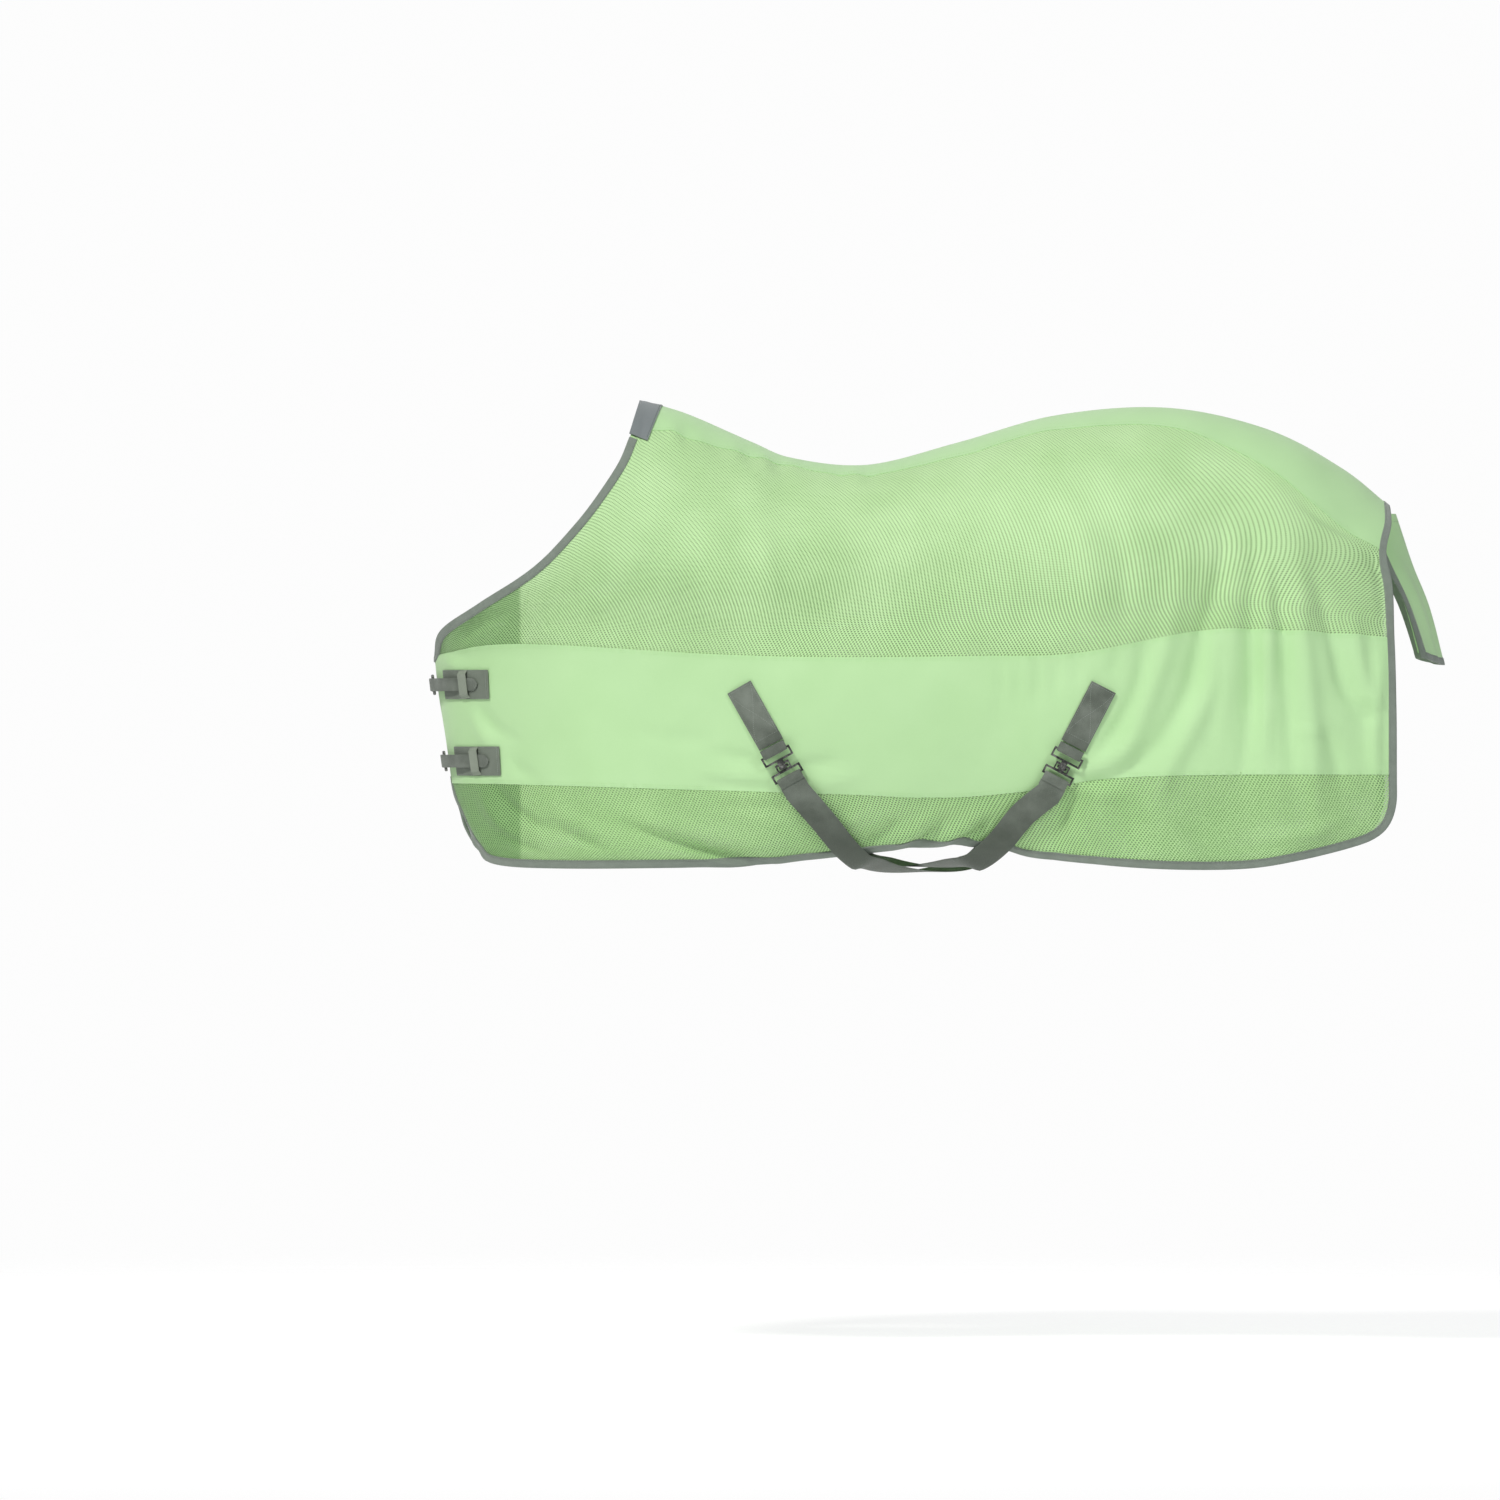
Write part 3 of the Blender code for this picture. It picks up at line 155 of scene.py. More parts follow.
def front_line(z):
    """How far forward the chest and throat come at a level."""
    z = np.asarray(z, float)
    throat = NECK[-1][0] - 0.78 * (z - NECK[-1][1])
    return np.where(z > NECK[-1][1], throat, chest_level(z))


def half_width(x, z):
    """Half the horse's width at a side-view place."""
    widest = SHOULDER - 0.060 * ease(-x, 0.02, 0.30)
    widest = widest + (BARREL - SHOULDER) * ease(x, 0.05, 0.45) + (RUMP - BARREL) * ease(x, 0.75, 1.05)
    widest = widest + (DOCK - RUMP) * ease(x, 1.08, 1.30)
    width = widest * quarter(crest(x) - z, BACK_ROUND) * quarter(x - front_line(z), CHEST_ROUND)
    drop = np.clip((WIDEST_LEVEL - z) / (WIDEST_LEVEL - BELLY_LEVEL), 0, 0.96)
    hug = 0.85 * ease(x, 0.00, 0.38) * (1 - ease(x, 0.56, 0.90))
    return width * np.where(z < WIDEST_LEVEL, 1 - hug + hug * np.sqrt(1 - drop * drop), 1.0)


def skin(x, z, lift=0.0, side=-1):
    """Places on one side of the sheet, lifted off the horse's form."""
    x, z = np.broadcast_arrays(np.asarray(x, float), np.asarray(z, float))
    w, e = half_width(x, z), 0.004
    wx = (half_width(x + e, z) - half_width(x - e, z)) / (2 * e)
    wz = (half_width(x, z + e) - half_width(x, z - e)) / (2 * e)
    out = np.stack([-wx, np.where(w < 1e-4, 0.0, -1.0), -wz], -1)
    out /= np.maximum(np.linalg.norm(out, axis=-1, keepdims=True), 1e-9)
    places = np.stack([x, -w, z], -1) + np.asarray(lift, float)[..., None] * out
    if side > 0:
        places[..., 1] *= -1
    return places


# ---------------------------------------------------------------- how the cloth hangs
# each fold is a soft ridge: places along it, half width, height (a valley is negative)
FOLDS = [
    # hindquarters, hanging flutes: valleys with rounded ridges between them
    ([(0.995, -0.20), (0.985, -0.30), (0.957, -0.396), (0.925, -0.51), (0.849, -0.635)], 0.013, -0.010),
    ([(0.93, -0.24), (0.91, -0.36), (0.88, -0.46), (0.835, -0.58), (0.790, -0.65)], 0.018, 0.009),
    ([(0.985, -0.38), (0.965, -0.50), (0.905, -0.62), (0.87, -0.69)], 0.016, 0.009),
    ([(1.045, -0.24), (1.040, -0.396), (1.039, -0.505), (1.020, -0.66)], 0.012, -0.011),
    ([(1.010, -0.30), (1.003, -0.45), (0.985, -0.60)], 0.015, 0.007),
    ([(1.066, -0.29), (1.068, -0.44), (1.063, -0.64)], 0.011, 0.009),
    ([(1.078, -0.30), (1.093, -0.396), (1.101, -0.51), (1.110, -0.68)], 0.011, -0.010),
    ([(1.120, -0.26), (1.128, -0.42), (1.142, -0.56), (1.150, -0.74)], 0.017, 0.010),
    ([(1.150, -0.30), (1.180, -0.42), (1.197, -0.49), (1.226, -0.54)], 0.012, -0.010),
    ([(1.212, -0.36), (1.226, -0.46), (1.245, -0.52)], 0.013, 0.008),
    ([(1.262, -0.40), (1.256, -0.50), (1.250, -0.60), (1.266, -0.68)], 0.011, 0.009),
    ([(1.160, -0.56), (1.180, -0.60), (1.195, -0.68)], 0.012, -0.006),
    ([(1.105, -0.565), (1.135, -0.568), (1.160, -0.560)], 0.007, 0.004),
    ([(1.210, -0.512), (1.240, -0.508), (1.262, -0.516)], 0.006, 0.004),
    ([(1.215, -0.545), (1.245, -0.540), (1.268, -0.532)], 0.006, -0.004),
    # short pleats above the rear clip
    ([(0.611, -0.438), (0.613, -0.490), (0.606, -0.545)], 0.007, -0.003),
    ([(0.640, -0.436), (0.643, -0.480), (0.640, -0.52)], 0.007, -0.003),
    ([(0.676, -0.434), (0.676, -0.480), (0.669, -0.53)], 0.007, -0.0035),
    ([(0.708, -0.432), (0.707, -0.475), (0.700, -0.51)], 0.007, -0.004),
    ([(0.741, -0.430), (0.744, -0.460), (0.738, -0.49)], 0.007, -0.004),
    ([(0.811, -0.420), (0.797, -0.50), (0.782, -0.56)], 0.010, -0.006),
    ([(0.858, -0.405), (0.850, -0.48), (0.811, -0.56), (0.757, -0.610)], 0.012, -0.009),
    # sweeping out of the rear clip
    ([(0.730, -0.628), (0.775, -0.625), (0.82, -0.600), (0.85, -0.565)], 0.012, 0.008),
    ([(0.720, -0.645), (0.77, -0.650), (0.83, -0.632), (0.87, -0.59)], 0.009, -0.007),
    ([(0.735, -0.660), (0.775, -0.675), (0.83, -0.672)], 0.010, 0.006),
    ([(0.705, -0.655), (0.680, -0.700), (0.655, -0.752)], 0.014, 0.008),
    ([(0.742, -0.665), (0.720, -0.715), (0.705, -0.775)], 0.013, -0.009),
    ([(0.775, -0.672), (0.785, -0.720), (0.800, -0.780)], 0.016, 0.009),
    ([(0.815, -0.675), (0.835, -0.720), (0.850, -0.785)], 0.014, -0.006),
    ([(0.86, -0.68), (0.90, -0.73), (0.955, -0.785)], 0.018, 0.006),
    ([(1.04, -0.75), (1.13, -0.742), (1.20, -0.715)], 0.013, 0.007),
    # out of the front clip
    ([(0.225, -0.618), (0.175, -0.612), (0.110, -0.600)], 0.010, -0.005),
    ([(0.232, -0.640), (0.170, -0.643), (0.090, -0.632)], 0.010, 0.004),
    ([(0.245, -0.660), (0.180, -0.662), (0.110, -0.655)], 0.008, -0.005),
    ([(0.265, -0.625), (0.305, -0.620), (0.350, -0.612)], 0.009, -0.005),
    ([(0.270, -0.650), (0.320, -0.652), (0.380, -0.640)], 0.009, 0.004),
    ([(0.262, -0.690), (0.200, -0.697), (0.120, -0.690)], 0.011, -0.005),
    # long fold from the shoulder to the hem
    ([(-0.040, -0.722), (0.040, -0.748), (0.130, -0.775), (0.220, -0.790)], 0.009, -0.011),
    ([(-0.060, -0.700), (0.030, -0.722), (0.120, -0.745), (0.230, -0.765)], 0.016, 0.010),
    ([(0.060, -0.775), (0.130, -0.790), (0.20, -0.792)], 0.010, 0.007),
    # gathers over the belly
    ([(0.300, -0.765), (0.345, -0.735), (0.375, -0.705)], 0.010, 0.007),
    ([(0.430, -0.755), (0.470, -0.735), (0.500, -0.700)], 0.011, 0.009),
    ([(0.445, -0.765), (0.485, -0.745), (0.515, -0.715)], 0.008, -0.009),
    ([(0.500, -0.757), (0.545, -0.735), (0.585, -0.700)], 0.011, 0.009),
    ([(0.520, -0.760), (0.560, -0.745), (0.60, -0.715)], 0.008, -0.009),
    ([(0.360, -0.765), (0.400, -0.745), (0.440, -0.715)], 0.009, -0.008),
    ([(0.565, -0.757), (0.600, -0.735), (0.625, -0.705)], 0.009, 0.006),
    # chest and shoulder
    ([(-0.335, -0.440), (-0.318, -0.452), (-0.300, -0.460)], 0.008, 0.006),
    ([(-0.275, -0.520), (-0.255, -0.555), (-0.205, -0.585)], 0.010, -0.006),
    ([(-0.290, -0.530), (-0.270, -0.570), (-0.245, -0.600)], 0.010, 0.005),
    ([(-0.238, -0.600), (-0.205, -0.630), (-0.165, -0.652)], 0.010, -0.005),
    ([(-0.320, -0.690), (-0.300, -0.740), (-0.262, -0.785)], 0.008, -0.010),
    ([(-0.255, -0.650), (-0.225, -0.690), (-0.185, -0.720), (-0.135, -0.745)], 0.008, -0.009),
    ([(-0.275, -0.672), (-0.240, -0.720), (-0.200, -0.760)], 0.012, 0.008),
    ([(-0.240, -0.735), (-0.205, -0.758), (-0.160, -0.775)], 0.007, -0.006),
    ([(-0.165, -0.718), (-0.115, -0.745), (-0.060, -0.770)], 0.007, -0.007),
    ([(-0.150, -0.700), (-0.100, -0.725), (-0.040, -0.755)], 0.012, 0.007),
    ([(-0.330, -0.405), (-0.290, -0.372), (-0.240, -0.345)], 0.008, 0.006),
    ([(-0.310, -0.415), (-0.270, -0.385), (-0.225, -0.362)], 0.007, -0.004),
    ([(-0.178, -0.300), (-0.198, -0.350), (-0.208, -0.42)], 0.004, -0.002),
    ([(-0.02, -0.565), (0.06, -0.580), (0.13, -0.578)], 0.014, -0.003),
    # back and withers
    ([(0.03, -0.10), (0.10, -0.22), (0.20, -0.36)], 0.026, 0.004),
    ([(0.20, -0.22), (0.225, -0.31), (0.22, -0.42)], 0.020, 0.006),
    ([(0.02, -0.20), (-0.02, -0.30), (-0.10, -0.38)], 0.022, 0.004),
    ([(-0.14, -0.29), (-0.165, -0.345), (-0.175, -0.40)], 0.010, 0.004),
    ([(0.73, -0.16), (0.76, -0.26), (0.765, -0.36)], 0.022, 0.005),
    ([(0.80, -0.20), (0.825, -0.30), (0.815, -0.40)], 0.016, -0.006),
    ([(1.120, -0.172), (1.180, -0.215), (1.240, -0.240)], 0.008, -0.005),
    ([(1.240, -0.262), (1.262, -0.30), (1.268, -0.38)], 0.010, -0.006),
]
# places held flat by the webbing over them: path, reach
QUIET = [([(0.169, -0.491), (0.245, -0.63), (0.314, -0.716), (0.357, -0.765)], 0.024),
         ([(0.787, -0.491), (0.72, -0.63), (0.650, -0.706), (0.610, -0.752)], 0.024),
         ([(-0.360, -0.486), (-0.300, -0.486), (-0.262, -0.486)], 0.024),
         ([(-0.345, -0.617), (-0.290, -0.617), (-0.250, -0.617)], 0.024)]


def from_path(x, z, path):
    """Distance from a path, and the share of the way along it, for every place."""
    run = smooth_run(path, 8)
    best, share = np.full(x.shape, 9.0), np.zeros(x.shape)
    for k in range(len(run) - 1):
        a, d = run[k], run[k + 1] - run[k]
        t = np.clip(((x - a[0]) * d[0] + (z - a[1]) * d[1]) / (d @ d), 0, 1)
        gap = np.hypot(x - a[0] - t * d[0], z - a[1] - t * d[1])
        nearer = gap < best
        best = np.where(nearer, gap, best)
        share = np.where(nearer, (k + t) / (len(run) - 1), share)
    return best, share


def drape(x, z, side):
    """How far the cloth stands off its plain form."""
    x, z = np.broadcast_arrays(np.asarray(x, float), np.asarray(z, float))
    shift = 0.0 if side < 0 else 0.023
    stand = np.zeros(x.shape)
    for path, half, height in FOLDS:
        gap, share = from_path(x + shift * np.sin(9 * z + 3), z, path)
        stand += height * np.exp(-(gap / half) ** 2) * np.sin(np.pi * np.clip(share, 0.02, 0.98)) ** 0.6
    stand += 0.0016 * np.sin(23 * x + 7 * z + side) * np.sin(17 * z - 5 * x)
    stand += 0.0009 * np.sin(61 * x - 13 * z) * np.sin(37 * z + 11 * x + side)
    for path, reach in QUIET:
        gap, _ = from_path(x, z, path)
        stand *= ease(gap, reach * 0.75, reach * 1.7)
    for name, reach in (("flank_top", 0.012), ("flank_foot", 0.012)):
        off = np.abs(z - seam_levels[name](x))
        stand += 0.0007 * np.exp(-(off / reach) ** 2) * np.sin(2 * np.pi * x / 0.019 + 2 * np.sin(31 * x))
    withers = np.exp(-((z - seam_levels["strip"](x)) / 0.018) ** 2) * (1 - ease(x, 0.36, 0.46))
    stand += (0.0036 * withers * np.sin(2 * np.pi * x / 0.052 + 1.2)
              * (0.6 + 0.4 * np.sin(2 * np.pi * x / 0.17)))
    stand *= 1 - (1 - ease(x, 0.012, 0.05)) * ease(z, -0.10, -0.075)
    stand *= quarter(crest(x) - z, 0.05) * quarter(x - front_line(z), 0.004)
    return stand


def cloth(x, z, lift, side):
    """Places on the hanging sheet."""
    return skin(x, z, np.asarray(lift) + drape(x, z, side), side)


def spaced(run, side, count):
    """The same run with its places evenly spaced over the form."""
    places = skin(run[:, 0], run[:, 1], 0.0, side)
    walked = np.concatenate([[0], np.cumsum(np.linalg.norm(np.diff(places, axis=0), axis=1))])
    wanted = np.linspace(0, walked[-1], count)
    return np.stack([np.interp(wanted, walked, run[:, 0]), np.interp(wanted, walked, run[:, 1])], -1)


def march(run, turn, distances):
    """Places at set distances over the form, square to a run; turn picks the side of it."""
    places = skin(run[:, 0], run[:, 1])
    course = np.gradient(places, axis=0)
    course /= np.linalg.norm(course, axis=1, keepdims=True)
    here, walked, kept = run.copy(), 0.0, []
    for wanted in distances:
        steps = max(1, int(math.ceil((wanted - walked) / MARCH_STEP)))
        for _ in range(steps if wanted > walked else 0):
            e = MARCH_STEP
            centre = skin(here[:, 0], here[:, 1])
            by_x = (skin(here[:, 0] + e, here[:, 1]) - centre) / e
            by_z = (centre - skin(here[:, 0], here[:, 1] - e)) / e
            dx, dz = (by_z * course).sum(1), -(by_x * course).sum(1)
            size = np.linalg.norm(by_x * dx[:, None] + by_z * dz[:, None], axis=1)
            step = turn * (wanted - walked) / steps / np.maximum(size, 1e-6)
            here = here + np.stack([dx * step, dz * step], -1)
        walked = max(walked, wanted)
        kept.append(here.copy())
    return kept


# ---------------------------------------------------------------- making pieces
def finished(name, mesh, material, body, smooth_angle=50):
    """The piece made from a mesh, with its finish, material slot and body."""
    piece = bpy.data.objects.new(name, mesh)
    bpy.context.scene.collection.objects.link(piece)
    mesh.materials.clear()
    mesh.materials.append(material)
    mesh.shade_smooth()
    mesh.set_sharp_from_angle(angle=math.radians(smooth_angle))
    if body:
        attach(piece, body)
    return piece


def mesh_from(bm, name):
    """A mesh made from a bmesh, which is then let go."""
    mesh = bpy.data.meshes.new(name)
    bm.to_mesh(mesh)
    bm.free()
    return mesh


def two_faced(name, outer, inner, uv, material, body, smooth_angle=60):
    """A closed thin piece between two grids of places, with its cloth measured in metres."""
    rows, columns = outer.shape[:2]
    index = np.arange(rows * columns).reshape(rows, columns)
    a, b, c, d = index[:-1, :-1], index[:-1, 1:], index[1:, 1:], index[1:, :-1]
    top = np.stack([a, b, c, d], -1).reshape(-1, 4)
    low = top[:, ::-1] + rows * columns
    rim = np.concatenate([index[0, :-1], index[:-1, -1], index[-1, :0:-1], index[:0:-1, 0]])
    ahead = np.roll(rim, -1)
    wall = np.stack([ahead, rim, rim + rows * columns, ahead + rows * columns], -1)
    faces = np.concatenate([top, low, wall])
    mesh = bpy.data.meshes.new(name)
    places = np.concatenate([outer.reshape(-1, 3), inner.reshape(-1, 3)])
    mesh.from_pydata(places.tolist(), [], faces.tolist())
    bm = bmesh.new()
    bm.from_mesh(mesh)
    bmesh.ops.recalc_face_normals(bm, faces=bm.faces)
    if bm.calc_volume(signed=True) < 0:
        bmesh.ops.reverse_faces(bm, faces=bm.faces)
    bm.to_mesh(mesh)
    bm.free()
    layer = mesh.uv_layers.new(name="cloth")
    corners = np.zeros(len(mesh.loops), np.int32)
    mesh.loops.foreach_get("vertex_index", corners)
    flat = np.tile(uv.reshape(-1, 2), (2, 1))[corners]
    layer.data.foreach_set("uv", flat.astype(np.float32).ravel())
    return finished(name, mesh, material, body, smooth_angle)


def measured(places, column=None, row=None):
    """Cloth measure over a grid: metres along each row and each column from a chosen line."""
    rows, columns = places.shape[:2]
    column = columns // 2 if column is None else column
    row = rows - 1 if row is None else row
    u = np.concatenate([np.zeros((rows, 1)),
                        np.cumsum(np.linalg.norm(np.diff(places, axis=1), axis=2), axis=1)], axis=1)
    v = np.concatenate([np.zeros((1, columns)),
                        np.cumsum(np.linalg.norm(np.diff(places, axis=0), axis=2), axis=0)], axis=0)
    return np.stack([u - u[:, column:column + 1], v[row:row + 1] - v], -1)


def filled(top, foot, front, rear):
    """A grid of places filling four runs whose ends meet."""
    rows, columns = len(front), len(top)
    v, u = np.linspace(0, 1, rows)[:, None, None], np.linspace(0, 1, columns)[None, :, None]
    corners = (1 - u) * ((1 - v) * top[0] + v * foot[0]) + u * ((1 - v) * top[-1] + v * foot[-1])
    return (1 - v) * top[None] + v * foot[None] + (1 - u) * front[:, None] + u * rear[:, None] - corners


def panel_places(top, foot, front, rear, spacing=0.009):
    """The side-view places of one panel, evenly spaced over the form."""
    runs = [smooth_run(r, 30) for r in (top, foot, front, rear)]
    lengths = []
    for run in runs:
        places = skin(run[:, 0], run[:, 1])
        lengths.append(np.linalg.norm(np.diff(places, axis=0), axis=1).sum())
    columns = int(max(lengths[:2]) / spacing) + 1
    rows = int(max(lengths[2:]) / spacing) + 1
    return filled(*[spaced(run, -1, n) for run, n in zip(runs, (columns, columns, rows, rows))])


def stations_of(points, spacing=0.007):
    """Evenly spaced side-view places along a smooth curve through the points."""
    run = smooth_run(points, 40)
    places = skin(run[:, 0], run[:, 1])
    length = np.linalg.norm(np.diff(places, axis=0), axis=1).sum()
    return spaced(run, -1, int(length / spacing) + 1)


def edge_tape(name, run, turn, side, node):
    """Folded tape round an edge: a soft flat oval section that follows the run."""
    lines = march(run, turn, [max(d, 0.0) for d, _ in TAPE_SECTION])
    upper, lower = [], []
    for (d, height), line in zip(TAPE_SECTION, lines):
        stand = drape(line[:, 0], line[:, 1], side)
        place_up = skin(line[:, 0], line[:, 1], TAPE_MIDDLE + TAPE_HALF * height + stand, side)
        place_low = skin(line[:, 0], line[:, 1], TAPE_MIDDLE - TAPE_HALF * height + stand, side)
        if d < 0:
            inward = skin(lines[2][:, 0], lines[2][:, 1], TAPE_MIDDLE + stand, side) - skin(
                run[:, 0], run[:, 1], TAPE_MIDDLE + stand, side)
            inward /= np.maximum(np.linalg.norm(inward, axis=1, keepdims=True), 1e-9)
            place_up, place_low = place_up + inward * d, place_low + inward * d
        if height == 0.0:
            place_low = place_up
            place_up = place_up + TAPE_RIM * (skin(line[:, 0], line[:, 1], 1.0, side)
                                              - skin(line[:, 0], line[:, 1], 0.0, side))
        upper.append(place_up)
        lower.append(place_low)
    outer, inner = np.array(upper), np.array(lower)
    uv = measured(outer, column=0, row=0)
    piece = two_faced(name, outer, inner, uv, FINISH["tape"], "sheet")
    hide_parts(node)


def unit(v):
    """The same direction or directions, one long."""
    return v / np.maximum(np.linalg.norm(v, axis=-1, keepdims=True), 1e-9)


def ribbon(name, centres, outs, width, thick, material, body, nodes, across=14, crown=0.0,
           belly=None):
    """Webbing along a run of centres: outs point off its face; crown and belly puff it."""
    centres, outs = np.array(centres, float), np.array(outs, float)
    course = unit(np.gradient(centres, axis=0))
    outs = unit(outs - course * (outs * course).sum(1, keepdims=True))
    sideways = np.cross(course, outs)
    s = np.linspace(-1, 1, across)
    s = np.sign(s) * (1 - (1 - np.abs(s)) ** 1.6)
    half = np.broadcast_to(np.asarray(width, float), (len(centres),))[:, None] / 2
    edge = 1 - (1 - WEB_HEM) * np.abs(s) ** 14
    puff = crown * (1 - s ** 2)
    rise = (np.zeros(len(centres)) if belly is None else belly)[:, None] * (1 - s ** 2)
    middle = (centres[:, None] + sideways[:, None] * (half * s)[..., None]
              + outs[:, None] * (puff + rise)[..., None])
    outer = middle + outs[:, None] * (thick / 2 * edge)[None, :, None]
    inner = middle - outs[:, None] * (thick / 2 * edge)[None, :, None]
    piece = two_faced(name, outer, inner, measured(middle, column=0, row=0)[..., ::-1], material, body)
    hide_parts(*nodes)
    return outer


# ---------------------------------------------------------------- finishes
class Flow:
    """A number on its way through a finish; the usual operators add the sums."""

    def __init__(self, tree, socket):
        self.tree, self.socket = tree, socket

    @staticmethod
    def sum(tree, operation, *items):
        node = tree.nodes.new("ShaderNodeMath")
        node.operation = operation
        for k, item in enumerate(items):
            if isinstance(item, Flow):
                tree.links.new(item.socket, node.inputs[k])
            else:
                node.inputs[k].default_value = float(item)
        return Flow(tree, node.outputs[0])

    def __add__(self, other):
        return Flow.sum(self.tree, "ADD", self, other)

    def __sub__(self, other):
        return Flow.sum(self.tree, "SUBTRACT", self, other)

    def __rsub__(self, other):
        return Flow.sum(self.tree, "SUBTRACT", other, self)

    def __mul__(self, other):
        return Flow.sum(self.tree, "MULTIPLY", self, other)

    def __truediv__(self, other):
        return Flow.sum(self.tree, "DIVIDE", self, other)

    def __abs__(self):
        return Flow.sum(self.tree, "ABSOLUTE", self)

    def __mod__(self, other):
        return Flow.sum(self.tree, "FLOORED_MODULO", self, other)

    __radd__, __rmul__ = __add__, __mul__

    def floor(self):
        return Flow.sum(self.tree, "FLOOR", self)

    def sin(self):
        return Flow.sum(self.tree, "SINE", self)

    def higher(self, other):
        return Flow.sum(self.tree, "MAXIMUM", self, other)


class Finish:
    """One surface finish as a tree of nodes round a Principled shader."""

    def __init__(self, name, **steady):
        self.material = bpy.data.materials.new(name)
        self.material.use_nodes = True
        self.tree = self.material.node_tree
        self.tree.nodes.clear()
        self.shader = self.node("ShaderNodeBsdfPrincipled", {}, steady)
        out = self.node("ShaderNodeOutputMaterial")
        self.tree.links.new(self.shader.outputs[0], out.inputs[0])

    def node(self, kind, settings=None, sockets=None):
        node = self.tree.nodes.new(kind)
        for key, value in (settings or {}).items():
            setattr(node, key, value)
        for key, value in (sockets or {}).items():
            socket = node.inputs[key.replace("_", " ") if isinstance(key, str) else key]
            if isinstance(value, Flow):
                self.tree.links.new(value.socket, socket)
            elif isinstance(value, tuple) and len(value) == 3 and socket.type == "RGBA":
                socket.default_value = (*value, 1)
            else:
                socket.default_value = value
        return node

    def out(self, node, name=0):
        return Flow(self.tree, node.outputs[name])

    def cloth_measure(self):
        split = self.node("ShaderNodeSeparateXYZ", {}, {
            "Vector": self.out(self.node("ShaderNodeUVMap", {"uv_map": "cloth"}), "UV")})
        return self.out(split, "X"), self.out(split, "Y")

    def place(self):
        return self.out(self.node("ShaderNodeTexCoord"), "Object")

    def noise(self, scale, detail=3.0, rough=0.5):
        return self.out(self.node("ShaderNodeTexNoise", {}, {
            "Vector": self.place(), "Scale": scale, "Detail": detail, "Roughness": rough}), 0)

    def mix(self, factor, first, second):
        node = self.node("ShaderNodeMix", {"data_type": "RGBA"}, {0: factor, 6: first, 7: second})
        return Flow(self.tree, node.outputs[2])

    def span(self, value, low, high, to_low=0.0, to_high=1.0):
        return self.out(self.node("ShaderNodeMapRange", {"interpolation_type": "SMOOTHSTEP"},
                                  {"Value": value, 1: low, 2: high, 3: to_low, 4: to_high}), 0)

    def bump(self, height, distance, strength=1.0):
        return self.out(self.node("ShaderNodeBump", {}, {
            "Height": height, "Distance": distance, "Strength": strength}), 0)

    def set(self, **sockets):
        for key, value in sockets.items():
            socket = self.shader.inputs[key.replace("_", " ")]
            if isinstance(value, Flow):
                self.tree.links.new(value.socket, socket)
            else:
                socket.default_value = value
        return self.material


def knit_finish(name, light, deep):
    """Close warp knit: fine wales and courses with a soft sheen."""
    f = Finish(name, Roughness=0.62, Sheen_Weight=0.25, Sheen_Roughness=0.4, Specular_IOR_Level=0.3)
    u, v = f.cloth_measure()
    wale = (u * (2 * math.pi / WALE)).sin()
    course = (v * (2 * math.pi / COURSE)).sin()
    yarn = wale * 0.6 + course * 0.4
    broad = f.noise(9.0, 2.0)
    fine = f.noise(900.0, 2.0)
    tone = f.span(broad * 0.4 + 0.3 + (fine - 0.5) * 0.35, 0.25, 0.75)
    return f.set(Base_Color=f.mix(tone, deep, light), Roughness=0.56 + 0.12 * fine,
                 Normal=f.bump(yarn * 0.5 + fine * 0.6, 0.00022, 0.8))


